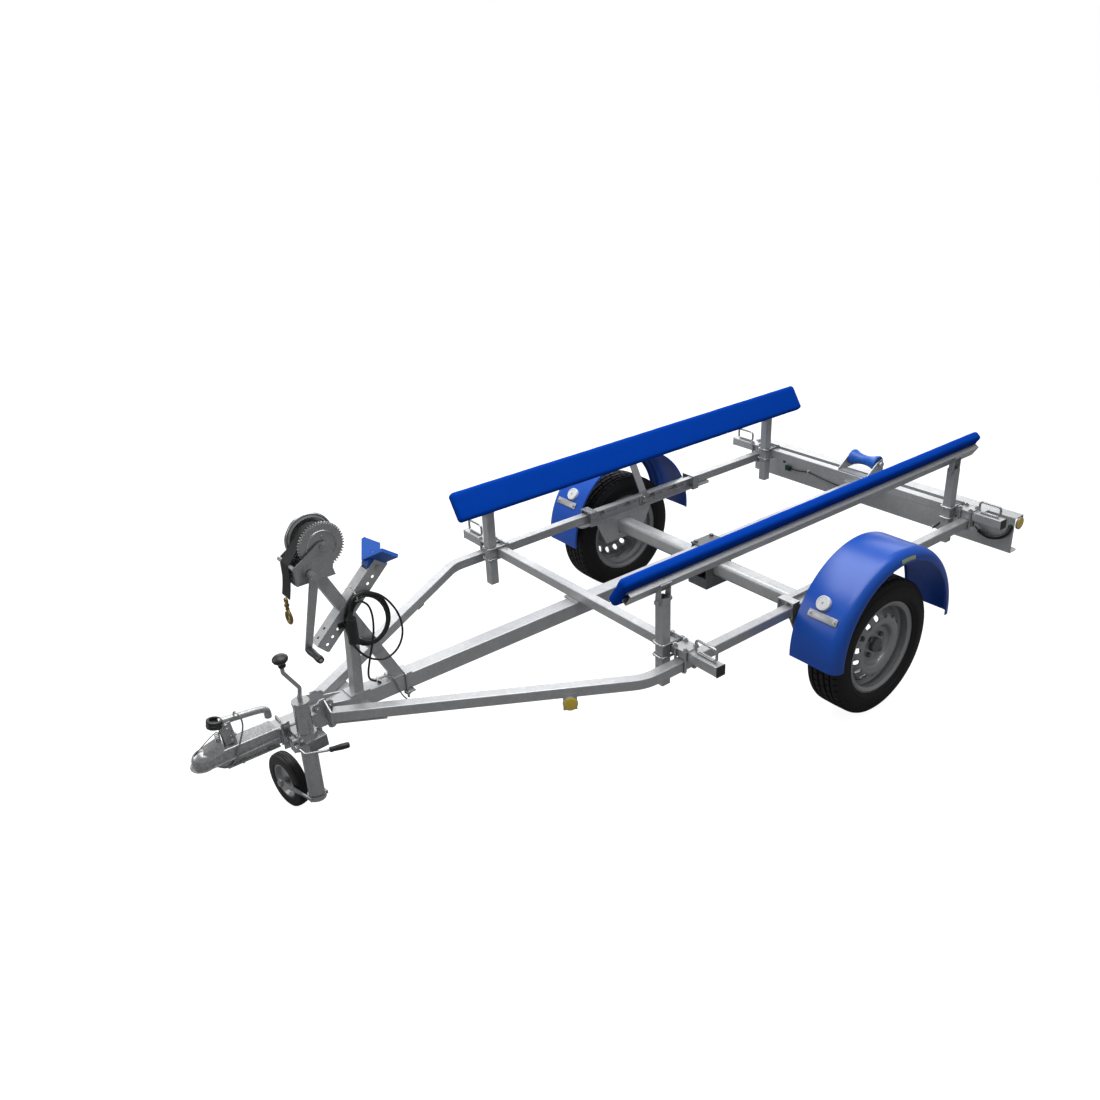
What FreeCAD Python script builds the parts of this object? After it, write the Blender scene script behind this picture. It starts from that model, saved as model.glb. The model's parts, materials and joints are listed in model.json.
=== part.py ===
"""Single-axle boat trailer: rails, drawbar, torsion axle, bunks, winch stand and jockey wheel.

Everything is drawn in the chassis frame, in millimetres: +X forward to the coupling, +Y left,
+Z up, with the origin on the wheel axis in the middle of the track. At the end the whole
trailer is pitched nose-down about the wheel axis, so that the tyres and the retracted jockey
wheel stand on the floor, and the middle of its footprint becomes the origin.
"""
import FreeCAD
import Part

import math
import os

Vector = FreeCAD.Vector

# ---- wheels -------------------------------------------------------------------------
TRACK_HALF = 751.0        # wheel centre plane from the middle
TYRE_RADIUS = 285.0
TYRE_WIDTH = 165.0        # section width
TREAD_WIDTH = 126.0
BEAD_RADIUS = 178.0       # rim seat
FLANGE_RADIUS = 193.0
RIM_WIDTH = 137.0
RIM_WALL = 2.8
RIM_OFFSET = 30.0         # mounting face outboard of the rim's middle
VENT_COUNT = 16
VENT_RADIUS = 12.5
VENT_CIRCLE = 132.0
STUD_COUNT = 4
STUD_CIRCLE = 49.0
HUB_RADIUS = 52.0
STUB_RADIUS = 17.0
PIN_GAP = 0.05            # radial running clearance at pins and shafts

# ---- frame tubes --------------------------------------------------------------------
RAIL_SIZE = 40.0
WALL = 3.0
RAIL_OUTER_Y = TRACK_HALF - 126.0
RAIL_TOP = 216.0
RAIL_REAR_X = -1030.0
KINK_X = 1054.0
RAIL_NOSE_Y = 63.0        # middle of a rail's front end
KINK_RADIUS = 150.0
RAIL_FRONT_X = 1956.0
NOSE_PLATE_BACK = 141.0   # nose plates start this far behind the rails' ends
DRAWBAR_SIZE = 60.0
DRAWBAR_TOP = 207.0
DRAWBAR_FRONT_X = 2226.0
CROSS_SIZE = 40.0
CROSS_HALF = TRACK_HALF + 19.0
FRONT_CROSS_X = 883.0     # front face of the front cross tube
REAR_CROSS_X = RAIL_REAR_X + 161.0   # front face of the rear cross tube
CAP_THICK = 4.0
PLATE = 5.0

# ---- rear beam ----------------------------------------------------------------------
BEAM_HALF = 751.0
BEAM_TOP = 213.0
BEAM_HEIGHT = 170.0
BEAM_WALL = 3.0
BEAM_TOP_DEPTH = 67.0
BEAM_FOOT_DEPTH = 62.0
LAMP_Y = BEAM_HALF - 141.0

# ---- posts and bunks ----------------------------------------------------------------
POST_Y = RAIL_OUTER_Y - 93.0
POST_SIZE = 40.0
POST_BOTTOM = 92.0
POST_TOP = 440.0
PIVOT_Z = 427.0
PIVOT_PIN_R = 6.0
BUNK_TILT = 57.5          # board face from level
BUNK_FRONT_X = 1087.0
BUNK_REAR_X = RAIL_REAR_X + 4.0
BUNK_TOP_Y = POST_Y - 19.0        # upper inner edge of the padded face
BUNK_TOP_Z = 572.0
BUNK_WIDTH = 130.0
BUNK_THICK = 45.0
BUNK_ROUND = 16.0
CHANNEL_WIDTH = 50.0
CHANNEL_DEPTH = 22.0
CHANNEL_WALL = 2.5
CHANNEL_INSET = 22.0      # channel ends short of the pad's ends
EAR_THICK = 5.0
EAR_GAP = 0.6
ROD_R = 5.0               # clamp rods and tie loops

# ---- axle ---------------------------------------------------------------------------
AXLE_X = 110.0
AXLE_Z = 112.0
AXLE_SIZE = 70.0
AXLE_WALL = 5.0
AXLE_CORNER = 18.0
AXLE_HALF = TRACK_HALF - 139.0
ARM_THICK = 22.0
HANGER_FRONT_X = 283.0
HANGER_REAR_X = -343.0
HANGER_TOP = 230.0
HANGER_IN_Y = RAIL_OUTER_Y - 65.0
STRAP_FRONT_X = 375.0
STRAP_REAR_X = -473.0
SADDLE_X0 = 34.0
SADDLE_X1 = 186.0
SADDLE_HALF = 55.0
SADDLE_BOTTOM = 24.0

# ---- mudguards ----------------------------------------------------------------------
GUARD_X = -23.0
GUARD_Z = 46.0
GUARD_R = 371.0
GUARD_IN_Y = TRACK_HALF - 103.0
GUARD_OUT_Y = TRACK_HALF + 115.0
GUARD_THICK = 4.0
GUARD_LIP_R = 325.0
GUARD_SHOULDER = 40.0
STRUT_WIDTH = 40.0

# ---- nose, coupling, jack -------------------------------------------------------------
COUPLING_REAR_X = 2141.0
COUPLING_NOSE_X = 2415.0
BALL_X = 2378.0
BALL_Z = 186.0
SOCKET_R = 25.3
SOCKET_DEPTH = 20.0       # straight wall below the ball's middle
COUPLING_HUMP = 236.0     # top of the body behind the ball
GRIP_X = 2327.0
GRIP_Z = 297.0
JACK_X = 2071.0
JACK_Y = 96.0
JACK_TUBE_R = 27.0
JACK_WALL = 3.0
JACK_TOP = 320.0
JACK_BOTTOM = -40.0
JACK_LEG_TOP = 270.0
JACK_CLAMP_Z = 140.0
JACK_CLAMP_H = 62.0
JOCKEY_SWIVEL = -82.0     # the parked wheel's heading from +X, about the jack
JOCKEY_TRAIL = 178.0
JOCKEY_Z = -80.0
JOCKEY_R = 101.0
JOCKEY_WIDTH = 44.0
JOCKEY_CROWN = 60.0
JOCKEY_RIM_R = 62.0
FORK_THICK = 5.0
FORK_GAP = 6.0

# ---- winch stand ----------------------------------------------------------------------
REAR_LEG_X = 1679.0
FRONT_LEG_X = REAR_LEG_X + 153.0
LEG_HEAD_X = REAR_LEG_X + 248.0
FRONT_LEG_HEAD_Z = 500.0
LEG_SIZE = 40.0
FRONT_LEG_SIZE = 34.0
WINCH_X = REAR_LEG_X + 218.0
WINCH_Z = 790.0
GEAR_MODULE = 3.0
GEAR_TEETH = 50
PINION_TEETH = 12
GEAR_BACKLASH = 0.30      # thinning of each tooth at the pitch circle
PINION_BEARING = -52.6    # direction from drum axis to pinion, degrees
WINCH_HALF = 56.0
WINCH_PLATE = 4.0
WINCH_BASE_Z = 690.0
CRANK_LENGTH = 243.0
CRANK_OUT = 26.0          # arm's inner face outboard of the frame
CRANK_LEAN = -76.5        # direction of the crank arm at rest, degrees
WRAP_R = 50.0             # webbing wound on the drum
STRAP_THICK = 3.0
STRAP_GAP = 0.35
STRAP_HANG = 108.0
GUIDE_R = 7.0
GUIDE_AHEAD = 104.0       # strap guide ahead of the drum, and the plates' front edge
GUIDE_UP = 56.0           # strap guide above the base
STOP_LOW = (REAR_LEG_X + 259.0, 420.0)
STOP_HIGH = (REAR_LEG_X + 5.0, 664.0)
STOP_WIDTH = 46.0
STOP_DEPTH = 50.0
WING_RUN = 52.0           # wings' reach along the stop
WING_HALF = 60.0
WING_THICK = 13.0
WING_LENGTH = 68.0
BLOCK_BOLT = 32.0         # bow block's bolt below the channel's end
BLOCK_BOLT_R = 5.0

ROLLER_X = RAIL_REAR_X + 64.0
ROLLER_Z = 306.0
ROLLER_HALF = 75.0
ROLLER_R = 38.0

CORD_R = 3.75
PLUG_X = REAR_LEG_X + 163.0
PLUG_Y = 57.0
PLUG_Z = 425.0

RAIL_BOTTOM = RAIL_TOP - RAIL_SIZE
RAIL_IN_Y = RAIL_OUTER_Y - RAIL_SIZE
RAIL_MID_Y = RAIL_OUTER_Y - RAIL_SIZE / 2
KINK_ANGLE = math.degrees(math.atan2(RAIL_MID_Y - RAIL_NOSE_Y, RAIL_FRONT_X - KINK_X))
DRAWBAR_BOTTOM = DRAWBAR_TOP - DRAWBAR_SIZE
CROSS_TOP = RAIL_TOP + CROSS_SIZE
BEAM_BOTTOM = BEAM_TOP - BEAM_HEIGHT


# ---- helpers --------------------------------------------------------------------------
def box(x0, x1, y0, y1, z0, z1):
    return Part.makeBox(x1 - x0, y1 - y0, z1 - z0, Vector(x0, y0, z0))


def cyl(p, axis, radius, length):
    return Part.makeCylinder(radius, length, Vector(*p), Vector(*axis))


def prism(points, push):
    """A flat polygon of 3-D points pushed along a vector."""
    loop = [Vector(*p) for p in points]
    return Part.Face(Part.makePolygon(loop + [loop[0]])).extrude(Vector(*push))


def fused(shapes):
    body = shapes[0].multiFuse(shapes[1:]) if len(shapes) > 1 else shapes[0]
    return body.removeSplitter()


def mirrored(shape):
    return shape.mirror(Vector(0, 0, 0), Vector(0, 1, 0))


def long_edges(shape, axis, length):
    """Straight edges along one axis that are at least this long."""
    found = []
    for edge in shape.Edges:
        if edge.Curve.TypeId != "Part::GeomLine" or edge.Length < length:
            continue
        way = edge.tangentAt(edge.FirstParameter)
        if abs(abs(way.dot(Vector(*axis))) - 1) < 1e-6:
            found.append(edge)
    return found


def box_tube(x0, x1, y0, y1, z0, z1, axis, wall, corner=4.0):
    """A square tube with rounded corners, open at both ends."""
    outer = box(x0, x1, y0, y1, z0, z1)
    outer = outer.makeFillet(corner, long_edges(outer, axis, 0.1))
    grow = [wall if a == 0 else -1.0 for a in axis]
    inner = box(x0 + grow[0], x1 - grow[0], y0 + grow[1], y1 - grow[1],
                z0 + grow[2], z1 - grow[2])
    if corner > 2 * wall:
        inner = inner.makeFillet(corner - wall, long_edges(inner, axis, 0.1))
    return outer.cut(inner)


def ribbon(path, radii, half):
    """The plan outline of a bent strip: each side of the path at a half width."""
    def side(offset):
        ways = []
        for (ax, ay), (bx, by) in zip(path, path[1:]):
            run = math.hypot(bx - ax, by - ay)
            ways.append(((bx - ax) / run, (by - ay) / run))
        corners = [(path[0][0] - ways[0][1] * offset, path[0][1] + ways[0][0] * offset)]
        for k in range(1, len(path) - 1):
            (ux, uy), (vx, vy) = ways[k - 1], ways[k]
            half_turn = math.atan2(ux * vy - uy * vx, ux * vx + uy * vy) / 2
            nx, ny = -(uy + vy), ux + vx
            size = math.hypot(nx, ny)
            reach = offset / math.cos(half_turn)
            corners.append((path[k][0] + nx / size * reach, path[k][1] + ny / size * reach))
        corners.append((path[-1][0] - ways[-1][1] * offset, path[-1][1] + ways[-1][0] * offset))
        edges = []
        start = corners[0]
        for k in range(1, len(corners) - 1):
            (ux, uy), (vx, vy) = ways[k - 1], ways[k]
            turn = math.atan2(ux * vy - uy * vx, ux * vx + uy * vy)
            radius = radii[k - 1] - offset * (1 if turn > 0 else -1)
            cut = radius * math.tan(abs(turn) / 2)
            cx, cy = corners[k]
            p = (cx - ux * cut, cy - uy * cut)
            q = (cx + vx * cut, cy + vy * cut)
            mid_reach = radius / math.cos(turn / 2) - radius
            bx, by = (vx - ux), (vy - uy)
            size = math.hypot(bx, by)
            m = (cx + bx / size * mid_reach, cy + by / size * mid_reach)
            edges.append(("line", start, p))
            edges.append(("arc", p, m, q))
            start = q
        edges.append(("line", start, corners[-1]))
        return edges, corners[0], corners[-1]

    left, left0, left1 = side(half)
    right, right0, right1 = side(-half)
    wires = []
    for kind, *pts in left + [("line", left1, right1)] + right + [("line", right0, left0)]:
        pts = [Vector(x, y, 0) for x, y in pts]
        if kind == "line":
            wires.append(Part.LineSegment(*pts).toShape())
        else:
            wires.append(Part.Arc(*pts).toShape())
    return Part.Face(Part.Wire(Part.__sortEdges__(wires)))


def turned_y(profile, x, y, z, angle=360.0):
    """A revolve about a line along Y: the profile is (radius, y offset) pairs or arcs."""
    edges = []
    last = None
    for item in profile:
        if len(item) == 2:
            point = Vector(item[0], item[1], 0)
            if last is not None and point.sub(last).Length > 1e-6:
                edges.append(Part.LineSegment(last, point).toShape())
            last = point
        else:
            mid, end = Vector(item[0], item[1], 0), Vector(item[2], item[3], 0)
            edges.append(Part.Arc(last, mid, end).toShape())
            last = end
    first = Vector(profile[0][0], profile[0][1], 0)
    if last.sub(first).Length > 1e-6:
        edges.append(Part.LineSegment(last, first).toShape())
    face = Part.Face(Part.Wire(edges))
    solid = face.revolve(Vector(0, 0, 0), Vector(0, 1, 0), angle)
    solid.translate(Vector(x, y, z))
    return solid


def rod(points, radius, bend):
    """A round rod along straight runs with tangent bends."""
    pts = [Vector(*p) for p in points]
    pieces = []
    start = pts[0]
    for k in range(1, len(pts) - 1):
        u = pts[k].sub(pts[k - 1]).normalize()
        v = pts[k + 1].sub(pts[k]).normalize()
        turn = u.getAngle(v)
        r = bend[k - 1] if isinstance(bend, (list, tuple)) else bend
        cut = r * math.tan(turn / 2)
        p = pts[k].sub(u * cut)
        q = pts[k].add(v * cut)
        inward = v.sub(u).normalize()
        centre = pts[k].add(inward * (r / math.cos(turn / 2)))
        mid = centre.sub(inward * r)
        pieces.append(Part.LineSegment(start, p).toShape())
        pieces.append(Part.Arc(p, mid, q).toShape())
        start = q
    pieces.append(Part.LineSegment(start, pts[-1]).toShape())
    wire = Part.Wire(pieces)
    way = pts[1].sub(pts[0])
    disc = Part.Wire(Part.Circle(pts[0], way, radius).toShape())
    return wire.makePipeShell([disc], True, False)


def hexagon(p, axis, across, height):
    """A hexagonal head or nut with its base at a point."""
    corner = across / math.sqrt(3)
    loop = [Vector(corner * math.cos(math.radians(60 * k)), corner * math.sin(math.radians(60 * k)), 0)
            for k in range(6)]
    solid = Part.Face(Part.makePolygon(loop + [loop[0]])).extrude(Vector(0, 0, height))
    turn = FreeCAD.Rotation(Vector(0, 0, 1), Vector(*axis))
    solid.Placement = FreeCAD.Placement(Vector(*p), turn)
    return solid


def slot_cut(x0, x1, z, half, y0, y1):
    """A stadium-shaped hole through a plate that faces along Y."""
    body = box(x0 + half, x1 - half, y0, y1, z - half, z + half)
    return body.fuse(cyl((x0 + half, y0, z), (0, 1, 0), half, y1 - y0)).fuse(
        cyl((x1 - half, y0, z), (0, 1, 0), half, y1 - y0))


def compound(solids):
    return solids[0] if len(solids) == 1 else Part.makeCompound(solids)


# ---- frame ----------------------------------------------------------------------------
def side_rail():
    run = RAIL_FRONT_X - KINK_X
    end_y = RAIL_MID_Y - run * math.tan(math.radians(KINK_ANGLE))
    path = [(RAIL_REAR_X, RAIL_MID_Y), (KINK_X, RAIL_MID_Y), (RAIL_FRONT_X, end_y)]
    outer = ribbon(path, [KINK_RADIUS], RAIL_SIZE / 2).extrude(Vector(0, 0, RAIL_SIZE))
    inner = ribbon(path, [KINK_RADIUS], RAIL_SIZE / 2 - WALL).extrude(
        Vector(0, 0, RAIL_SIZE - 2 * WALL))
    outer = outer.makeFillet(4.0, [e for e in outer.Edges if e.Length > 45])
    outer.translate(Vector(0, 0, RAIL_BOTTOM))
    inner.translate(Vector(0, 0, RAIL_BOTTOM + WALL))
    return outer.cut(inner)


def rail_outer_at(x):
    """The outer face of the slanted front run of the left rail at one x."""
    turn = math.radians(KINK_ANGLE)
    return RAIL_MID_Y - (x - KINK_X) * math.tan(turn) + RAIL_SIZE / 2 / math.cos(turn)


def drawbar():
    half = DRAWBAR_SIZE / 2
    return box_tube(RAIL_REAR_X, DRAWBAR_FRONT_X, -half, half, DRAWBAR_BOTTOM, DRAWBAR_TOP,
                    (1, 0, 0), WALL)


def nose_gusset(sign):
    """The plate under a rail's front end and the bolted ear that join it to the drawbar."""
    x0, x1 = RAIL_FRONT_X - NOSE_PLATE_BACK, RAIL_FRONT_X + 11
    half = DRAWBAR_SIZE / 2
    low = prism([(x0, sign * half, RAIL_BOTTOM), (x0, sign * rail_outer_at(x0), RAIL_BOTTOM),
                 (x1, sign * rail_outer_at(x1), RAIL_BOTTOM), (x1, sign * half, RAIL_BOTTOM)],
                (0, 0, -PLATE))
    ear = prism([(x0 + 60, sign * half, DRAWBAR_BOTTOM), (x1 + 34, sign * half, DRAWBAR_BOTTOM),
                 (x1 + 34, sign * half, HANGER_TOP), (x1 + 18, sign * half, RAIL_TOP + 34),
                 (x1, sign * half, RAIL_TOP + 34), (x1 - 22, sign * half, RAIL_TOP + PLATE),
                 (x0 + 60, sign * half, RAIL_TOP - 10)], (0, sign * 6.0, 0))
    wing = prism([(x1, sign * half, RAIL_BOTTOM - PLATE),
                  (x1, sign * (rail_outer_at(x1) + 2), RAIL_BOTTOM - PLATE),
                  (x1, sign * (rail_outer_at(x1) + 2), RAIL_TOP + 4),
                  (x1, sign * (half + 8), RAIL_TOP + 30), (x1, sign * half, RAIL_TOP + 30)],
                 (PLATE, 0, 0))
    return fused([low, ear, wing])


def cross_tube(front_x):
    return box_tube(front_x - CROSS_SIZE, front_x, -CROSS_HALF, CROSS_HALF, RAIL_TOP, CROSS_TOP,
                    (0, 1, 0), WALL)


def tie_loop(front_x, sign):
    x = front_x - CROSS_SIZE / 2
    z0, z1 = CROSS_TOP + ROD_R, CROSS_TOP + 52
    y0, y1, r = 655.0, 752.0, 14.0
    mid = (y0 + y1) / 2
    loop = rod([(x, sign * mid, z0), (x, sign * y1, z0), (x, sign * y1, z1), (x, sign * y0, z1),
                (x, sign * y0, z0), (x, sign * mid, z0)], ROD_R, r)
    return loop


def tube_cap(front_x, sign):
    x0, x1 = front_x - CROSS_SIZE, front_x
    y0 = sign * CROSS_HALF
    face = box(x0, x1, min(y0, y0 + sign * CAP_THICK), max(y0, y0 + sign * CAP_THICK),
               RAIL_TOP, CROSS_TOP)
    gap = WALL + 0.2
    y1 = y0 - sign * 14
    plug = box(x0 + gap, x1 - gap, min(y0, y1), max(y0, y1), RAIL_TOP + gap, CROSS_TOP - gap)
    return fused([face, plug])


def post(front_x, sign):
    """An upright tube in front of a cross tube, with the bolt that the bunk swivels on."""
    half = POST_SIZE / 2
    tube = box_tube(front_x, front_x + POST_SIZE, sign * POST_Y - half, sign * POST_Y + half,
                    POST_BOTTOM, POST_TOP, (0, 0, 1), WALL)
    return fused([tube, pivot_bolt(front_x, sign)])


def post_clamp(front_x, sign):
    """Two U-rods round a post, above and below the cross tube, with their backing plate."""
    out = POST_SIZE / 2 + ROD_R
    y = sign * POST_Y
    back = front_x - CROSS_SIZE - PLATE
    rods = []
    for z in (CROSS_TOP + ROD_R, RAIL_TOP - ROD_R):
        u = rod([(back - 14, y - out, z), (front_x + POST_SIZE + ROD_R, y - out, z),
                 (front_x + POST_SIZE + ROD_R, y + out, z), (back - 14, y + out, z)], ROD_R, 9.0)
        nuts = [hexagon((back, y + s * out, z), (-1, 0, 0), 17.0, 8.0) for s in (-1, 1)]
        rods.append(fused([u] + nuts))
    plate = box(back, back + PLATE, y - out - 9, y + out + 9, RAIL_TOP - 16, CROSS_TOP + 16)
    for z in (CROSS_TOP + ROD_R, RAIL_TOP - ROD_R):
        for s in (-1, 1):
            plate = plate.cut(cyl((back - 1, y + s * out, z), (1, 0, 0), ROD_R, PLATE + 2))
    return rods, plate


def rail_clamp(front_x, sign):
    """Two U-rods under a rail, either side of the cross tube, and the plate on top of it."""
    rods = []
    out = RAIL_SIZE / 2 + ROD_R
    mid = sign * RAIL_MID_Y
    top = CROSS_TOP + PLATE
    xs = (front_x - CROSS_SIZE - ROD_R, front_x + ROD_R)
    for x in xs:
        low = RAIL_BOTTOM - ROD_R
        u = rod([(x, mid - out, top + 12), (x, mid - out, low), (x, mid + out, low),
                 (x, mid + out, top + 12)], ROD_R, 9.0)
        nuts = [hexagon((x, mid + s * out, top), (0, 0, 1), 17.0, 8.0) for s in (-1, 1)]
        rods.append(fused([u] + nuts))
    plate = box(xs[0] - 9, xs[1] + 9, mid - out - 8, mid + out + 8, CROSS_TOP, top)
    for x in xs:
        for s in (-1, 1):
            plate = plate.cut(cyl((x, mid + s * out, CROSS_TOP - 1), (0, 0, 1), ROD_R, PLATE + 2))
    return rods, plate


def packing_plate(front_x):
    """Fills the step between the drawbar and a cross tube."""
    half = DRAWBAR_SIZE / 2 + 10
    return box(front_x - CROSS_SIZE - 10, front_x + 10, -half, half, DRAWBAR_TOP, RAIL_TOP)


def rear_beam():
    """A pressed C-section across the tail: web to the front, flanges to the rear."""
    x = RAIL_REAR_X
    t = BEAM_WALL
    web = box(x - t, x, -BEAM_HALF, BEAM_HALF, BEAM_BOTTOM, BEAM_TOP)
    top = box(x - BEAM_TOP_DEPTH, x, -BEAM_HALF, BEAM_HALF, BEAM_TOP - t, BEAM_TOP)
    lip = box(x - BEAM_TOP_DEPTH, x - BEAM_TOP_DEPTH + t, -BEAM_HALF, BEAM_HALF,
              BEAM_TOP - 14, BEAM_TOP)
    foot = box(x - BEAM_FOOT_DEPTH, x, -BEAM_HALF, BEAM_HALF, BEAM_BOTTOM, BEAM_BOTTOM + t)
    round_edges = [e for e in long_edges(foot, (0, 0, 1), 0.1)
                   if e.CenterOfMass.x < x - BEAM_FOOT_DEPTH + 1]
    foot = foot.makeFillet(16.0, round_edges)
    return fused([web, top, lip, foot])


# ---- rear lamps, reflectors, keel roller ------------------------------------------------
def tail_lamp(sign):
    """A box lamp behind the beam's web, hung under the top flange."""
    x = RAIL_REAR_X - BEAM_WALL
    y = sign * LAMP_Y
    body = box(x - 46, x, y - 105, y + 105, 78, 178)
    body = body.makeFillet(8.0, long_edges(body, (1, 0, 0), 1.0))
    lens = box(x - 60, x - 46, y - 101, y + 101, 82, 174)
    lens = lens.makeFillet(5.0, [e for e in lens.Edges if e.CenterOfMass.x < x - 50])
    return fused([body, lens])


def end_reflector(sign):
    """A round side reflector on a tab under the beam's top flange."""
    x = RAIL_REAR_X - 40
    y0 = BEAM_HALF - 2.0
    disc = cyl((x, y0, BEAM_TOP - 33), (0, 1, 0), 29.0, 7.0)
    tab = box(x - 12, x + 12, y0 - 2.0, y0, BEAM_TOP - 46, BEAM_TOP - BEAM_WALL)
    solid = fused([disc, tab])
    return solid if sign > 0 else mirrored(solid)


def rail_reflector(sign):
    """An amber side reflector on a bracket under the slanted rail."""
    x = 1290.0
    y = rail_outer_at(x)
    turn = math.radians(KINK_ANGLE)
    along = (math.cos(turn), -math.sin(turn))
    out = (math.sin(turn), math.cos(turn))
    bracket = prism([(x - 24 * along[0], y - 24 * along[1], RAIL_BOTTOM + 20),
                     (x + 24 * along[0], y + 24 * along[1], RAIL_BOTTOM + 20),
                     (x + 24 * along[0], y + 24 * along[1], RAIL_BOTTOM - 46),
                     (x - 24 * along[0], y - 24 * along[1], RAIL_BOTTOM - 46)],
                    (out[0] * 3, out[1] * 3, 0))
    disc = cyl((x + out[0] * 3, y + out[1] * 3, RAIL_BOTTOM - 18), (out[0], out[1], 0), 26.0, 8.0)
    solid = fused([bracket, disc])
    return solid if sign > 0 else mirrored(solid)


def keel_roller():
    """A hollow-waisted roller, bored for its pin."""
    h, r = ROLLER_HALF, ROLLER_R
    waist = r - 14.0
    bore = 10.0 + PIN_GAP
    profile = [(bore, -h), (r - 3, -h), (r - 0.9, -h + 0.9, r, -h + 3), (r, -h + 12),
               (waist, 0.0, r, h - 12), (r, h - 3), (r - 0.9, h - 0.9, r - 3, h), (bore, h)]
    return turned_y(profile, ROLLER_X, 0, ROLLER_Z)


def roller_bracket():
    """A folded bracket on the rear cross tube with two ears and the roller's pin."""
    y1 = ROLLER_HALF + 5.5
    base = box(ROLLER_X - 26, REAR_CROSS_X - 2, -y1 - 4, y1 + 4, CROSS_TOP, CROSS_TOP + 5)
    parts = [base]
    for sign in (1, -1):
        y0 = sign * y1
        ear = prism([(ROLLER_X - 26, y0, CROSS_TOP), (REAR_CROSS_X - 2, y0, CROSS_TOP),
                     (REAR_CROSS_X - 2, y0, CROSS_TOP + 14), (ROLLER_X + 22, y0, ROLLER_Z + 14),
                     (ROLLER_X - 16, y0, ROLLER_Z + 22), (ROLLER_X - 26, y0, ROLLER_Z)],
                    (0, sign * 4, 0))
        parts.append(ear)
    bracket = fused(parts)
    bracket = bracket.cut(box(ROLLER_X - 30, REAR_CROSS_X - CROSS_SIZE - 1, -y1, y1,
                              CROSS_TOP - 1, CROSS_TOP + 6))
    reach = y1 + 4 + 7
    pin = cyl((ROLLER_X, -reach, ROLLER_Z), (0, 1, 0), 10.0, 2 * reach)
    head = cyl((ROLLER_X, -reach - 4, ROLLER_Z), (0, 1, 0), 14.0, 7.0)
    tail = cyl((ROLLER_X, reach - 3, ROLLER_Z), (0, 1, 0), 14.0, 7.0)
    return fused([bracket, pin, head, tail])


# ---- bunks ----------------------------------------------------------------------------
def bunk_frame():
    """Unit vectors of the left bunk's section: across (down and in) and back (out and down)."""
    turn = math.radians(BUNK_TILT)
    across = (-math.cos(turn), -math.sin(turn))
    back = (math.sin(turn), -math.cos(turn))
    return across, back


def bunk_point(s, t):
    """(y, z) of a point s across the padded face from its top edge and t behind it."""
    across, back = bunk_frame()
    return (BUNK_TOP_Y + across[0] * s + back[0] * t, BUNK_TOP_Z + across[1] * s + back[1] * t)


def bunk_block(x0, x1, s0, s1, t0, t1):
    loop = [bunk_point(s, t) for s, t in ((s0, t0), (s1, t0), (s1, t1), (s0, t1))]
    return prism([(x0, y, z) for y, z in loop], (x1 - x0, 0, 0))


def bunk_pad():
    pad = bunk_block(BUNK_REAR_X, BUNK_FRONT_X, 0, BUNK_WIDTH, 0, BUNK_THICK)
    return pad.makeFillet(BUNK_ROUND, long_edges(pad, (1, 0, 0), 100.0))


def bunk_channel():
    """A lipped channel behind the pad, its open side against the pad."""
    mid = BUNK_WIDTH / 2
    half = CHANNEL_WIDTH / 2
    t0, t1 = BUNK_THICK, BUNK_THICK + CHANNEL_DEPTH
    x0, x1 = BUNK_REAR_X + CHANNEL_INSET, BUNK_FRONT_X - CHANNEL_INSET
    outer = bunk_block(x0, x1, mid - half, mid + half, t0, t1)
    inner = bunk_block(x0 - 1, x1 + 1, mid - half + CHANNEL_WALL, mid + half - CHANNEL_WALL,
                       t0 + CHANNEL_WALL, t1 - CHANNEL_WALL)
    mouth = bunk_block(x0 - 1, x1 + 1, mid - 12, mid + 12, t0 - 1, t0 + CHANNEL_WALL + 1)
    channel = outer.cut(inner).cut(mouth)
    return fused([channel] + [bunk_bracket(x) for x in (FRONT_CROSS_X, REAR_CROSS_X)])


def bunk_bracket(front_x):
    """A folded saddle on the channel whose ears straddle the post at the pivot pin."""
    mid = BUNK_WIDTH / 2
    t0 = BUNK_THICK + CHANNEL_DEPTH
    x0 = front_x - EAR_GAP - EAR_THICK
    x1 = front_x + POST_SIZE + EAR_GAP + EAR_THICK
    parts = [bunk_block(x0, x1, mid - 22, mid + 22, t0, t0 + EAR_THICK)]
    a = bunk_point(mid - 22, t0)
    b = bunk_point(mid + 22, t0)
    dx, dz = POST_Y - a[0], PIVOT_Z - a[1]
    for x in (x0, x1 - EAR_THICK):
        boss = cyl((x, POST_Y, PIVOT_Z), (1, 0, 0), 14.0, EAR_THICK)
        web = prism([(x, a[0], a[1]), (x, b[0], b[1]), (x, POST_Y - 13.2, PIVOT_Z - 4.6),
                     (x, POST_Y + 13.6, PIVOT_Z + 3.2)], (EAR_THICK, 0, 0))
        parts += [boss, web]
    shape = fused(parts)
    return shape.cut(cyl((x0 - 1, POST_Y, PIVOT_Z), (1, 0, 0), PIVOT_PIN_R + PIN_GAP, x1 - x0 + 2))


def pivot_bolt(front_x, sign):
    x0 = front_x - EAR_GAP - EAR_THICK - 0.3
    x1 = front_x + POST_SIZE + EAR_GAP + EAR_THICK + 0.3
    pin = cyl((x0 - 4, sign * POST_Y, PIVOT_Z), (1, 0, 0), PIVOT_PIN_R, x1 - x0 + 8)
    head = hexagon((x1, sign * POST_Y, PIVOT_Z), (1, 0, 0), 19.0, 8.0)
    nut = hexagon((x0, sign * POST_Y, PIVOT_Z), (-1, 0, 0), 19.0, 10.0)
    return fused([pin, head, nut])


# ---- axle -----------------------------------------------------------------------------
def axle_beam():
    half = AXLE_SIZE / 2
    return box_tube(AXLE_X - half, AXLE_X + half, -AXLE_HALF, AXLE_HALF, AXLE_Z - half,
                    AXLE_Z + half, (0, 1, 0), AXLE_WALL, AXLE_CORNER)


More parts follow.
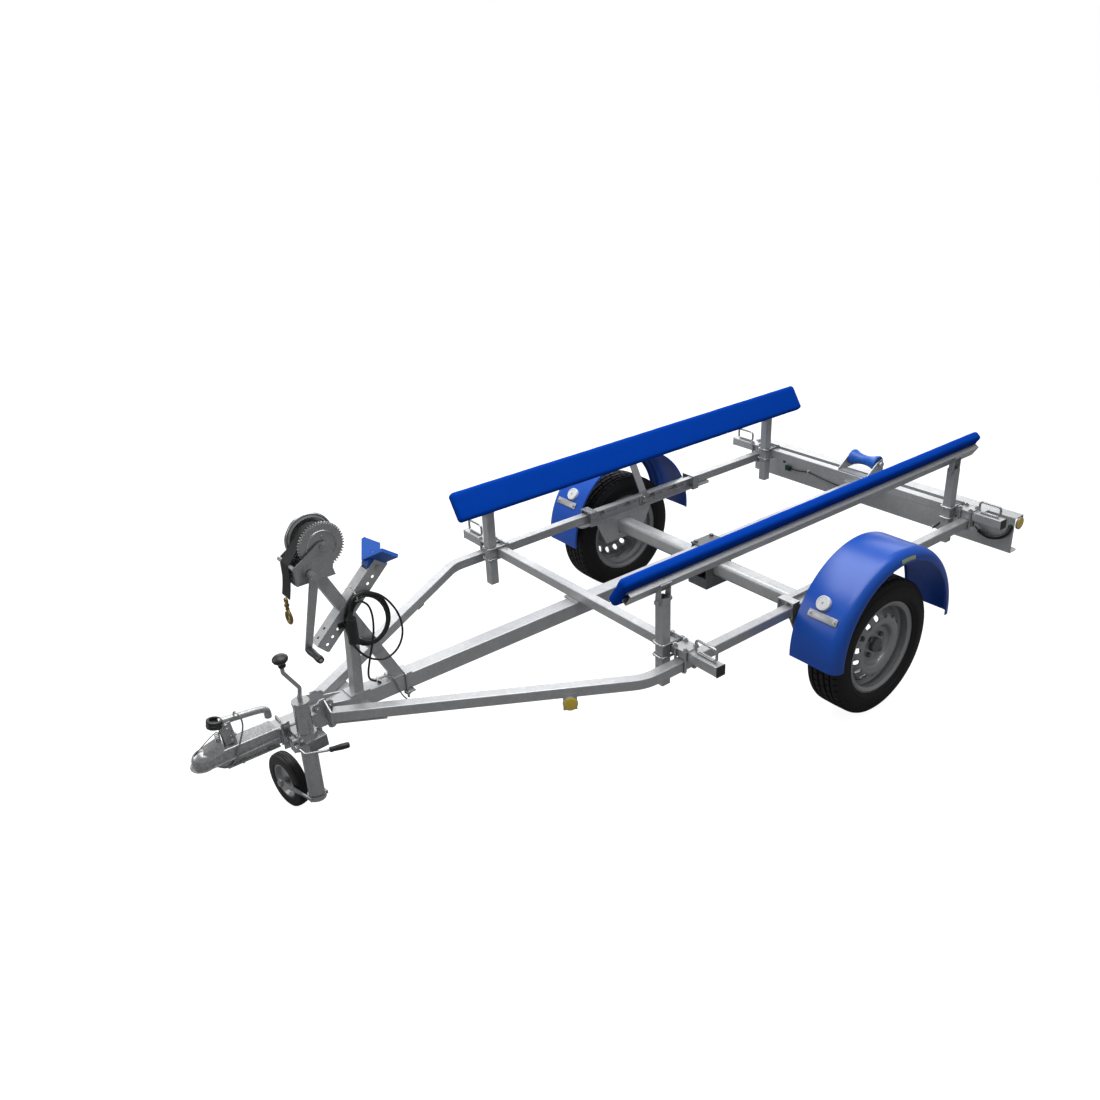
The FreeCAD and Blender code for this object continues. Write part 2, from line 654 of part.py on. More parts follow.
def swing_arm():
    """A trailing arm on the end of the beam, with its torsion bar and the wheel's stub axle."""
    y0 = AXLE_HALF
    run = math.hypot(AXLE_X, AXLE_Z)
    nx, nz = -AXLE_Z / run, AXLE_X / run
    big, small = 42.0, 33.0
    arm = prism([(AXLE_X + nx * big, y0, AXLE_Z + nz * big), (nx * small, y0, nz * small),
                 (-nx * small, y0, -nz * small), (AXLE_X - nx * big, y0, AXLE_Z - nz * big)],
                (0, ARM_THICK, 0))
    eye = cyl((AXLE_X, y0, AXLE_Z), (0, 1, 0), big, ARM_THICK)
    boss = cyl((0, y0, 0), (0, 1, 0), small, ARM_THICK + 10)
    stub = cyl((0, y0, 0), (0, 1, 0), STUB_RADIUS, TRACK_HALF + RIM_OFFSET + 6 - y0)
    side = 17.0
    bar = prism([(AXLE_X + side * 1.4, y0 - 160, AXLE_Z), (AXLE_X, y0 - 160, AXLE_Z + side * 1.4),
                 (AXLE_X - side * 1.4, y0 - 160, AXLE_Z), (AXLE_X, y0 - 160, AXLE_Z - side * 1.4)],
                (0, 162, 0))
    return fused([arm, eye, boss, stub, bar])


def axle_hanger():
    """A slotted angle on the rail's inner side, its foot strap and the plate that holds the axle."""
    web = box(HANGER_REAR_X, HANGER_FRONT_X, RAIL_IN_Y - 4, RAIL_IN_Y, RAIL_BOTTOM, HANGER_TOP)
    for x0, x1 in ((-300, -190), (-150, -40), (20, 110), (140, 250)):
        web = web.cut(slot_cut(x0, x1, 203, 5.5, RAIL_IN_Y - 6, RAIL_IN_Y + 2))
    top = box(HANGER_REAR_X, HANGER_FRONT_X, HANGER_IN_Y, RAIL_IN_Y, HANGER_TOP - 4, HANGER_TOP)
    top = top.cut(box(GUARD_X - STRUT_WIDTH / 2 - 1, GUARD_X + STRUT_WIDTH / 2 + 1,
                      HANGER_IN_Y - 1, RAIL_IN_Y - 4, HANGER_TOP - 6, HANGER_TOP + 2))
    strap = box(STRAP_REAR_X, STRAP_FRONT_X, HANGER_IN_Y, RAIL_IN_Y + 28, RAIL_BOTTOM - 6,
                RAIL_BOTTOM)
    strap = strap.makeFillet(20.0, long_edges(strap, (0, 0, 1), 1.0))
    y0 = HANGER_IN_Y + 6
    plate = prism([(AXLE_X + 172, y0, RAIL_BOTTOM - 6), (AXLE_X - 175, y0, RAIL_BOTTOM - 6),
                   (AXLE_X - 112, y0, 46), (AXLE_X + 112, y0, 46)], (0, 7, 0))
    half = AXLE_SIZE / 2
    plate = plate.cut(box(AXLE_X - half, AXLE_X + half, y0 - 1, y0 + 8, AXLE_Z - half,
                          AXLE_Z + half))
    return fused([web, top, strap, plate])


def hanger_clamp(x):
    """A square loop over the rail and the hanger, with its stud ends under the strap."""
    y0, y1 = HANGER_IN_Y - PLATE, RAIL_OUTER_Y + PLATE
    z0, z1 = RAIL_BOTTOM - 24, HANGER_TOP + PLATE
    outer = box(x, x + 38, y0, y1, z0, z1)
    inner = box(x - 1, x + 39, y0 + PLATE, y1 - PLATE, z0 - 1, z1 - PLATE)
    keep = box(x - 1, x + 39, y0 - 1, y1 + 1, RAIL_BOTTOM - 6, z1 + 1)
    hoop = outer.cut(inner).common(keep)
    base = box(x, x + 38, y0, y1, RAIL_BOTTOM - 6 - PLATE, RAIL_BOTTOM - 6)
    return fused([hoop, base])


def saddle():
    """The folded bracket that hangs the axle under the drawbar."""
    z1 = DRAWBAR_TOP
    t = 6.0
    half = AXLE_SIZE / 2
    low = box(SADDLE_X0, SADDLE_X1, -SADDLE_HALF, SADDLE_HALF, SADDLE_BOTTOM, SADDLE_BOTTOM + t)
    parts = [low]
    for sign in (1, -1):
        y0 = sign * SADDLE_HALF
        side = prism([(SADDLE_X0, y0, SADDLE_BOTTOM), (SADDLE_X1, y0, SADDLE_BOTTOM),
                      (SADDLE_X1, y0, AXLE_Z), (AXLE_X + 58, y0, z1), (AXLE_X - 58, y0, z1),
                      (SADDLE_X0, y0, AXLE_Z)], (0, -sign * t, 0))
        parts.append(side)
    for x in (SADDLE_X0, SADDLE_X1 - t):
        parts.append(box(x, x + t, -SADDLE_HALF, SADDLE_HALF, SADDLE_BOTTOM, AXLE_Z - half - 8))
    body = fused(parts)
    body = body.cut(box(AXLE_X - half, AXLE_X + half, -80, 80, AXLE_Z - half, AXLE_Z + half))
    return fused([body, saddle_cap()])


def saddle_cap():
    """The plate over the drawbar and the four long bolts down to the saddle's floor."""
    half = SADDLE_HALF + 3
    plate = box(AXLE_X - 64, AXLE_X + 64, -half, half, DRAWBAR_TOP, DRAWBAR_TOP + 6)
    parts = [plate]
    for x in (AXLE_X - 48, AXLE_X + 48):
        for y in (-41.0, 41.0):
            parts.append(cyl((x, y, SADDLE_BOTTOM + 6), (0, 0, 1), 5.0,
                             DRAWBAR_TOP + 14 - SADDLE_BOTTOM - 6))
            parts.append(hexagon((x, y, DRAWBAR_TOP + 6), (0, 0, 1), 17.0, 8.0))
            parts.append(hexagon((x, y, SADDLE_BOTTOM + 6), (0, 0, 1), 17.0, 8.0))
    return fused(parts)


# ---- wheels -----------------------------------------------------------------------------
def tyre():
    """A radial tyre: tread, shoulders, bulged walls and beads round an open inside."""
    r, w, tw = TYRE_RADIUS, TYRE_WIDTH / 2, TREAD_WIDTH / 2
    b, h, fl = BEAD_RADIUS, RIM_WIDTH / 2, FLANGE_RADIUS
    belly = (r + b) / 2 - 4
    outer = [(b, -h + 10), (b + 5, -h + 5), (fl - 2, -h + 4.5), (fl + 0.5, -h + 1.5, fl + 3, -h - 4),
             (belly - 16, -w + 2.6, belly, -w),
             (r - 32, -w + 3.0, r - 14, -tw - 9), (r - 4.5, -tw - 3.5, r - 1.5, -tw + 4),
             (r, 0.0, r - 1.5, tw - 4), (r - 4.5, tw + 3.5, r - 14, tw + 9),
             (r - 32, w - 3.0, belly, w), (belly - 16, w - 2.6, fl + 3, h + 4),
             (fl + 0.5, h - 1.5, fl - 2, h - 4.5), (b + 5, h - 5), (b, h - 10)]
    inner = [(b, h - 24), (b + 16, h - 15), (belly, w - 8), (r - 24, tw - 2), (r - 13, tw - 22),
             (r - 13, -tw + 22), (r - 24, -tw + 2), (belly, -w + 8), (b + 16, -h + 15),
             (b, -h + 24)]
    return turned_y(outer + inner, 0, TRACK_HALF, 0)


def rim():
    """A pressed wheel: drop-centre barrel and a domed disc with its ring of round vents."""
    b, fl, h, t = BEAD_RADIUS - 0.3, FLANGE_RADIUS, RIM_WIDTH / 2, RIM_WALL
    drop = b - 17
    barrel = [(b - t, -h + 8), (b + 4, -h + 4), (fl - 3, -h + 3), (fl, -h), (fl - 8, -h - 1.5),
              (b + 6 - t, -h + 1), (b - t - 2, -h + 6), (b - t - 2, -h + 26), (drop - t, -h + 38),
              (drop - t, 12), (b - t - 2, 30), (b - t - 2, h - 6), (b + 6 - t, h - 1),
              (fl - 8, h + 1.5), (fl, h), (fl - 3, h - 3), (b + 4, h - 4), (b, h - 9),
              (b, 30 + t), (drop, 14 + t), (drop, -h + 38 + t), (b, -h + 26 + t), (b, -h + 8)]
    shell = turned_y(barrel[1:], 0, TRACK_HALF, 0)
    face = RIM_OFFSET
    d = 5.0
    edge = drop - t
    disc = [(30, face), (68, face), (78, face + 3, 84, face + 12), (92, face + 22, 104, face + 24),
            (124, face + 24, 140, face + 12), (150, face + 2, edge, face - 22), (edge, face - 34),
            (edge - 4, face - 34), (edge - 6, face - 24), (146, face - 3, 136, face + 8),
            (122, face + 19, 104, face + 24 - d), (96, face + 18, 89, face + 9),
            (82, face - 3, 68, face - d), (30, face - d)]
    plate = turned_y(disc, 0, TRACK_HALF, 0)
    for k in range(VENT_COUNT):
        a = 2 * math.pi * (k + 0.5) / VENT_COUNT
        x, z = VENT_CIRCLE * math.cos(a), VENT_CIRCLE * math.sin(a)
        plate = plate.cut(cyl((x, TRACK_HALF + face - 12, z), (0, 1, 0), VENT_RADIUS, 40))
    for k in range(STUD_COUNT):
        a = 2 * math.pi * (k + 0.5) / STUD_COUNT
        x, z = STUD_CIRCLE * math.cos(a), STUD_CIRCLE * math.sin(a)
        plate = plate.cut(cyl((x, TRACK_HALF + face - 8, z), (0, 1, 0), 6.5, 12))
    return fused([shell, plate])


def hub():
    """The turning hub: bearing barrel, flange, grease cap and four wheel bolts."""
    y0 = AXLE_HALF + ARM_THICK + 10 + 5.0
    y1 = TRACK_HALF + RIM_OFFSET - 5.0
    shape = fused([cyl((0, y0, 0), (0, 1, 0), 38.0, y1 - y0),
                   cyl((0, y1 - 14, 0), (0, 1, 0), 66.0, 14),
                   cyl((0, y1, 0), (0, 1, 0), 29.5, 22)])
    bore = cyl((0, y0 - 1, 0), (0, 1, 0), STUB_RADIUS + PIN_GAP, TRACK_HALF + RIM_OFFSET + 10 - y0)
    shape = shape.cut(bore)
    bolts = []
    for k in range(STUD_COUNT):
        a = 2 * math.pi * (k + 0.5) / STUD_COUNT
        x, z = STUD_CIRCLE * math.cos(a), STUD_CIRCLE * math.sin(a)
        bolts.append(cyl((x, y1 - 6, z), (0, 1, 0), 6.0, 12))
        bolts.append(hexagon((x, y1 + 5, z), (0, 1, 0), 17.0, 12.0))
    return fused([shape] + bolts)


# ---- mudguards --------------------------------------------------------------------------
def mudguard():
    """A rolled half-round guard with a turned-down outer edge."""
    r, t, s = GUARD_R, GUARD_THICK, GUARD_SHOULDER
    y0, y1 = GUARD_IN_Y - TRACK_HALF, GUARD_OUT_Y - TRACK_HALF
    k = math.sqrt(0.5)
    profile = [(r - 10, y0), (r - 10, y0 + t), (r - t, y0 + t), (r - t, y1 - s),
               (r - s + (s - t) * k, y1 - s + (s - t) * k, r - s, y1 - t), (GUARD_LIP_R, y1 - t),
               (GUARD_LIP_R, y1), (r - s, y1), (r - s + s * k, y1 - s + s * k, r, y1 - s), (r, y0)]
    over = 2.5
    guard = turned_y(profile, 0, 0, 0, -(180 + 2 * over))
    guard.rotate(Vector(0, 0, 0), Vector(0, 1, 0), over)
    guard.translate(Vector(GUARD_X, TRACK_HALF, GUARD_Z))
    return guard


def mudguard_strut():
    """A bent flat strip from the hanger over the rail to the underside of the crown."""
    t = 5.0
    crown = GUARD_Z + math.sqrt((GUARD_R - GUARD_THICK) ** 2 - (STRUT_WIDTH / 2) ** 2) - t / 2
    y0 = RAIL_IN_Y - 4 - t / 2
    path = [(y0, RAIL_BOTTOM + 4), (y0, HANGER_TOP + 12), (GUARD_IN_Y + 14, crown - 22),
            (GUARD_IN_Y + 44, crown), (GUARD_OUT_Y - 70, crown)]
    strip = ribbon(path, [12.0, 30.0, 30.0], t / 2).extrude(Vector(0, 0, STRUT_WIDTH))
    strip.Placement = FreeCAD.Placement(Vector(GUARD_X - STRUT_WIDTH / 2, 0, 0),
                                        FreeCAD.Rotation(Vector(0, 1, 0), Vector(0, 0, 1),
                                                         Vector(1, 0, 0), "ZXY"))
    return strip


# ---- coupling ---------------------------------------------------------------------------
def coupling_body():
    """A pressed ball coupling: open-bottomed shell over the drawbar with a domed nose."""
    half = DRAWBAR_SIZE / 2
    t = 4.0
    top = DRAWBAR_TOP + t
    neck_x = BALL_X - 60
    outer = prism([(COUPLING_REAR_X, -half - t, DRAWBAR_BOTTOM + 2),
                   (COUPLING_REAR_X, half + t, DRAWBAR_BOTTOM + 2),
                   (neck_x, half + t, DRAWBAR_BOTTOM + 2), (neck_x, -half - t, DRAWBAR_BOTTOM + 2)],
                  (0, 0, top - DRAWBAR_BOTTOM - 2))
    shell = outer.makeFillet(7.0, [e for e in long_edges(outer, (1, 0, 0), 50)
                                   if e.CenterOfMass.z > top - 1])
    shell = shell.cut(box(COUPLING_REAR_X - 1, DRAWBAR_FRONT_X + 12, -half, half, 0, DRAWBAR_TOP))
    dome = Part.makeSphere(SOCKET_R + 10, Vector(BALL_X, 0, BALL_Z), Vector(0, 0, 1), 0, 90)
    skirt = cyl((BALL_X, 0, BALL_Z - SOCKET_DEPTH), (0, 0, 1), SOCKET_R + 10, SOCKET_DEPTH)
    low, hump = DRAWBAR_BOTTOM + 2, COUPLING_HUMP
    back = [(-half - t, low), (half + t, low), (half + t, top - 8), (half - 12, hump),
            (-half + 12, hump), (-half - t, top - 8)]
    low = BALL_Z - SOCKET_DEPTH
    side, high = SOCKET_R + 8.7, BALL_Z + SOCKET_R + 7
    front = [(-side, low), (side, low), (side, BALL_Z + 8), (18.0, high), (-18.0, high),
             (-side, BALL_Z + 8)]
    rings = []
    for x, loop in ((neck_x - 2, back), (BALL_X, front)):
        rings.append(Part.makePolygon([Vector(x, y, z) for y, z in loop + loop[:1]]))
    under, mouth = DRAWBAR_BOTTOM + 2, BALL_X - SOCKET_R - 3
    below = [(neck_x - 2, under), (mouth, low), (COUPLING_NOSE_X + 5, low),
             (COUPLING_NOSE_X + 5, under - 30), (neck_x - 2, under - 30)]
    clear = prism([(x, -60, z) for x, z in below], (0, 120, 0))
    loft = Part.makeLoft(rings, True, True).cut(clear)
    flange = box(COUPLING_REAR_X, neck_x, -half - t - 8, half + t + 8, DRAWBAR_BOTTOM - 2,
                 DRAWBAR_BOTTOM + 2)
    rim_ring = cyl((BALL_X, 0, BALL_Z - SOCKET_DEPTH), (0, 0, 1), SOCKET_R + 12, 7)
    body = fused([shell, loft, dome, skirt, flange, rim_ring])
    socket = fused([Part.makeSphere(SOCKET_R, Vector(BALL_X, 0, BALL_Z)),
                    cyl((BALL_X, 0, BALL_Z - 60), (0, 0, 1), SOCKET_R, 60)])
    return body.cut(socket).cut(box(COUPLING_REAR_X - 1, DRAWBAR_FRONT_X + 12, -half, half,
                                    DRAWBAR_BOTTOM - 4, DRAWBAR_TOP))


def coupling_handle():
    """The raised locking lever, a folded channel on a bracket behind the ball's dome."""
    x, z = GRIP_X, GRIP_Z
    half = 13.0
    side = [(x - 173, z - 60), (x - 178, z - 36), (x - 168, z - 17), (x - 36, z + 1), (x - 14, z + 6),
            (x - 12, z - 13), (x - 32, z - 27), (x - 160, z - 43)]
    lever = prism([(a, -half, b) for a, b in side], (0, 2 * half, 0))
    inner = [(a, b - 3.0) for a, b in side[2:5]] + [(x - 12, z - 60), (x - 160, z - 60)]
    lever = lever.cut(prism([(a, 3.0 - half, b) for a, b in inner], (0, 2 * half - 6, 0)))
    base = DRAWBAR_TOP + 4
    mount = prism([(x - 59, -10, base), (x - 13, -10, base), (x - 14, -10, z - 40), (x - 26, -10, z - 12),
                   (x - 50, -10, z - 14), (x - 55, -10, z - 60)], (0, 20, 0))
    return fused([lever, mount])


def coupling_grip():
    """A black round grip over the front of the lever."""
    ring = turned_y([(8, -14), (20, -14), (22, -12), (22, 12), (20, 14), (8, 14)], GRIP_X, 0, GRIP_Z)
    return ring.cut(coupling_handle())


# ---- jack -------------------------------------------------------------------------------
def jack_bracket():
    """The clamp that holds the jack tube to the drawbar's side."""
    r = JACK_TUBE_R
    z0, z1 = JACK_CLAMP_Z, JACK_CLAMP_Z + JACK_CLAMP_H
    y0 = DRAWBAR_SIZE / 2
    plate = box(JACK_X - 70, JACK_X + 62, y0, y0 + 6, DRAWBAR_BOTTOM - 4, DRAWBAR_TOP - 2)
    arm = box(JACK_X - 36, JACK_X + 36, y0 + 6, JACK_Y - 10, z0, z1)
    ring = cyl((JACK_X, JACK_Y, z0), (0, 0, 1), r + 8, z1 - z0)
    lug = box(JACK_X + 8, JACK_X + 52, JACK_Y - 16, JACK_Y + 16, z0 + 8, z1 - 8)
    body = fused([plate, arm, ring, lug])
    body = body.cut(cyl((JACK_X, JACK_Y, z0 - 1), (0, 0, 1), r, z1 - z0 + 2))
    slit = box(JACK_X, JACK_X + 60, JACK_Y - 1.5, JACK_Y + 1.5, z0 - 1, z1 + 1)
    screw = cyl((JACK_X + 44, JACK_Y - 30, (z0 + z1) / 2), (0, 1, 0), 6.0, 60)
    return body.cut(slit).cut(screw)


def jack_clamp_lever():
    """The clamp screw and its bent lever."""
    z = JACK_CLAMP_Z + JACK_CLAMP_H / 2
    x = JACK_X + 44
    screw = cyl((x, JACK_Y - 26, z), (0, 1, 0), 6.0, 60)
    return screw


def jack_clamp_arm():
    z = JACK_CLAMP_Z + JACK_CLAMP_H / 2
    x = JACK_X + 44
    arm = rod([(x, JACK_Y + 30, z), (x - 10, JACK_Y + 52, z - 14), (x - 72, JACK_Y + 84, z - 12),
               (x - 100, JACK_Y + 98, z - 8)], 4.5, 12.0)
    head = cyl((x, JACK_Y + 20, z), (0, 1, 0), 11.0, 16)
    a, b = Vector(x - 72, JACK_Y + 84, z - 12), Vector(x - 100, JACK_Y + 98, z - 8)
    way = b.sub(a).normalize()
    grip = Part.makeCylinder(8.0, 46, b.sub(way * 6), way)
    return fused([arm, head, jack_clamp_lever(), grip])


def jack_outer_tube():
    r = JACK_TUBE_R
    tube = cyl((JACK_X, JACK_Y, JACK_BOTTOM), (0, 0, 1), r, JACK_TOP - JACK_BOTTOM)
    bore = cyl((JACK_X, JACK_Y, JACK_BOTTOM - 1), (0, 0, 1), r - JACK_WALL,
               JACK_TOP - 6 - JACK_BOTTOM + 1)
    tube = tube.cut(bore)
    rim_top = cyl((JACK_X, JACK_Y, JACK_TOP - 8), (0, 0, 1), r + 2, 8)
    tube = fused([tube, rim_top])
    return tube.cut(cyl((JACK_X, JACK_Y, JACK_TOP - 9), (0, 0, 1), 8.0 + PIN_GAP, 12))


def jack_crank():
    """The spindle down the leg and the cranked rod with its swelled end."""
    spindle = cyl((JACK_X, JACK_Y, 10), (0, 0, 1), 8.0, JACK_TOP + 20 - 10)
    x, y, z = JACK_X, JACK_Y, JACK_TOP
    arm = rod([(x, y, z + 4), (x - 6, y, z + 46), (x + 38, y, z + 120), (x + 38, y, z + 150)],
              6.5, 14.0)
    return fused([spindle, arm])


def jack_knob():
    x, y, z = JACK_X + 38, JACK_Y, JACK_TOP + 160
    knob = Part.makeSphere(25.0, Vector(x + 1, y, z + 12))
    knob = knob.common(box(x - 40, x + 40, y - 40, y + 40, z - 6, z + 30))
    neck = Part.makeCone(9.0, 15.0, 20.0, Vector(x, y, z - 22), Vector(0, 0, 1))
    knob = fused([knob, neck])
    return knob.cut(cyl((x, y, z - 23), (0, 0, 1), 6.5, 13))


def jockey_centre():
    a = math.radians(JOCKEY_SWIVEL)
    return (JACK_X + JOCKEY_TRAIL * math.cos(a), JACK_Y + JOCKEY_TRAIL * math.sin(a), JOCKEY_Z)


def jockey_swivelled(shape):
    """Turns a shape drawn with the wheel ahead of the jack to the parked heading."""
    shape.rotate(Vector(JACK_X, JACK_Y, 0), Vector(0, 0, 1), JOCKEY_SWIVEL)
    return shape


def jack_leg():
    """The sliding inner tube with its foot and the fork arms, drawn with the wheel ahead."""
    ri = JACK_TUBE_R - JACK_WALL - PIN_GAP
    foot_top = JACK_BOTTOM - 5.0
    foot_z = -62.0
    tube = cyl((JACK_X, JACK_Y, foot_z + 4), (0, 0, 1), ri, JACK_LEG_TOP - foot_z - 4)
    sleeve = cyl((JACK_X, JACK_Y, foot_z), (0, 0, 1), JACK_TUBE_R + 4, foot_top - foot_z)
    inside = JOCKEY_WIDTH / 2 + FORK_GAP
    hx = JACK_X + JOCKEY_TRAIL
    arms = []
    for s in (1, -1):
        y0 = JACK_Y + s * inside
        plate = prism([(JACK_X - 16, y0, foot_z + 2), (JACK_X + 34, y0, foot_z + 2),
                       (hx + 4, y0, JOCKEY_Z - 17), (hx + 10, y0, JOCKEY_Z + 14),
                       (hx - 10, y0, JOCKEY_Z + 17), (JACK_X - 16, y0, foot_top - 2)],
                      (0, s * FORK_THICK, 0))
        round_end = cyl((hx, y0, JOCKEY_Z), (0, s, 0), 17.0, FORK_THICK)
        arms.append(fused([plate, round_end]))
    leg = fused([tube, sleeve] + arms)
    leg = leg.cut(cyl((JACK_X, JACK_Y, foot_z + 10), (0, 0, 1), ri - JACK_WALL, JACK_LEG_TOP - foot_z))
    reach = inside + FORK_THICK
    pin = cyl((hx, JACK_Y - reach - 8, JOCKEY_Z), (0, 1, 0), 7.5, 2 * reach + 16)
    nuts = [hexagon((hx, JACK_Y + s * (reach + 0.3), JOCKEY_Z), (0, s, 0), 22.0, 7.0) for s in (1, -1)]
    return jockey_swivelled(fused([leg, pin] + nuts))


def jockey_tyre():
    r, h, c, rim_r = JOCKEY_R, JOCKEY_WIDTH / 2, JOCKEY_CROWN, JOCKEY_RIM_R
    edge = 16.0
    drop = c - math.sqrt(c * c - edge * edge)
    profile = [(rim_r, -h + 3), (rim_r + 8, -h), (r - 14, -h), (r - 5, -h + 1.5, r - drop, -edge),
               (r, 0, r - drop, edge), (r - 5, h - 1.5, r - 14, h), (rim_r + 8, h), (rim_r, h - 3)]
    return jockey_swivelled(turned_y(profile, JACK_X + JOCKEY_TRAIL, JACK_Y, JOCKEY_Z))


def jockey_rim():
    h, rim_r = JOCKEY_WIDTH / 2, JOCKEY_RIM_R
    bore = 7.5 + PIN_GAP
    hub_h = JOCKEY_WIDTH / 2 + FORK_GAP - 0.5
    profile = [(bore, -hub_h), (14, -hub_h), (14, -6), (20, -4), (48, -4), (rim_r - 5, -h + 4),
               (rim_r, -h + 4), (rim_r, h - 4), (rim_r - 5, h - 4), (48, 4), (20, 4), (14, 6),
               (14, hub_h), (bore, hub_h)]
    return jockey_swivelled(turned_y(profile, JACK_X + JOCKEY_TRAIL, JACK_Y, JOCKEY_Z))


# ---- winch stand --------------------------------------------------------------------------
def leg_block(start, end, half_y, size, grow=0.0):
    """A solid bar whose middle line runs between two (x, z) points."""
    run = math.hypot(end[0] - start[0], end[1] - start[1])
    ux, uz = (end[0] - start[0]) / run, (end[1] - start[1]) / run
    nx, nz = -uz * size / 2, ux * size / 2
    ax, az = start[0] - ux * grow, start[1] - uz * grow
    bx, bz = end[0] + ux * grow, end[1] + uz * grow
    return prism([(ax + nx, -half_y, az + nz), (bx + nx, -half_y, bz + nz),
                  (bx - nx, -half_y, bz - nz), (ax - nx, -half_y, az - nz)], (0, 2 * half_y, 0))


def leg_tube(start, end, half_y, size):
    return leg_block(start, end, half_y, size).cut(
        leg_block(start, end, half_y - WALL, size - 2 * WALL, 1.0))


REAR_LEG = ((REAR_LEG_X - 24, DRAWBAR_TOP - 45), (LEG_HEAD_X, WINCH_BASE_Z + 20))
FRONT_LEG = ((FRONT_LEG_X + 4, DRAWBAR_TOP - 30), (FRONT_LEG_X - 12, FRONT_LEG_HEAD_Z))


def winch_post():
    """The leaning rear leg that carries the winch, and the upright front leg."""
    base = DRAWBAR_TOP
    (ax, az), (bx, bz) = REAR_LEG
    under = WINCH_BASE_Z - WINCH_PLATE - 5
    above = box(bx - 200, bx + 200, -60, 60, under, WINCH_BASE_Z + 80)
    below = box(ax - 100, ax + 350, -60, 60, az - 80, base + 5)
    far = bx - ax
    behind = prism([(ax, -30, az), (bx, -30, bz), (bx - far, -30, bz), (ax - far, -30, az)],
                   (0, 60, 0))
    rear = leg_tube((ax, az), (bx, bz), 20, LEG_SIZE).cut(above).cut(below)
    front = leg_tube(*FRONT_LEG, 20, FRONT_LEG_SIZE).cut(behind).cut(leg_block((ax, az), (bx, bz), 21, LEG_SIZE))
    front = front.cut(below)
    foot = box(REAR_LEG_X - 46, REAR_LEG_X + 34, -30, 30, base, base + 5)
    toe = box(FRONT_LEG_X - 34, FRONT_LEG_X + 40, -30, 30, base, base + 5)
    head = box(WINCH_X - 26, WINCH_X + GUIDE_AHEAD - 2, -34, 34, WINCH_BASE_Z - WINCH_PLATE - 5,
               WINCH_BASE_Z - WINCH_PLATE)
    return fused([rear, front, foot, toe, head])


def stop_frame():
    run = math.hypot(STOP_HIGH[0] - STOP_LOW[0], STOP_HIGH[1] - STOP_LOW[1])
    along = ((STOP_HIGH[0] - STOP_LOW[0]) / run, (STOP_HIGH[1] - STOP_LOW[1]) / run)
    return along, (along[1], -along[0]), run


def bow_stop_channel():
    """A perforated channel across the winch post, with the bolt that holds the bow block."""
    along, up, run = stop_frame()
    t = 3.0
    w, d = STOP_WIDTH / 2, STOP_DEPTH

    def at(s, h, y):
        return (STOP_LOW[0] + along[0] * s + up[0] * h, y, STOP_LOW[1] + along[1] * s + up[1] * h)
    web_end = run - 58
    web = prism([at(0, d / 2, -w), at(web_end, d / 2, -w), at(web_end, d / 2, w), at(0, d / 2, w)],
                (up[0] * t, 0, up[1] * t))
    parts = [web]
    for s in (1, -1):
        y0 = s * w
        side = prism([at(0, d / 2 + t, y0), at(run - 10, d / 2 + t, y0), at(run + 2, d / 2 - 3, y0),
                      at(run + 8, 8, y0), at(run + 6, -8, y0), at(run - 4, -d / 2, y0),
                      at(4, -d / 2, y0), at(0, -d / 2 + 6, y0)], (0, -s * t, 0))
        parts.append(side)
    shape = fused(parts)
    for s_at in (22, 52, 82, run - 66, run - 94):
        shape = shape.cut(cyl(at(s_at, -3, -w - 5), (0, 1, 0), 5.5, 2 * w + 10))
    for s_at in (24, 60):
        p = at(s_at, d / 2 - 2, 0)
        shape = shape.cut(Part.makeCylinder(5.5, 10, Vector(*p), Vector(up[0], 0, up[1])))
    shape = shape.cut(leg_block(*REAR_LEG, 20, LEG_SIZE)).cut(
        leg_block(*FRONT_LEG, 20, FRONT_LEG_SIZE))
    bolt = cyl(at(run - BLOCK_BOLT, 0, -w - 10), (0, 1, 0), BLOCK_BOLT_R, 2 * w + 20)
    heads = [hexagon(at(run - BLOCK_BOLT, 0, s * w), (0, s, 0), 17.0, 7.0) for s in (1, -1)]
    return fused([shape, bolt] + heads)


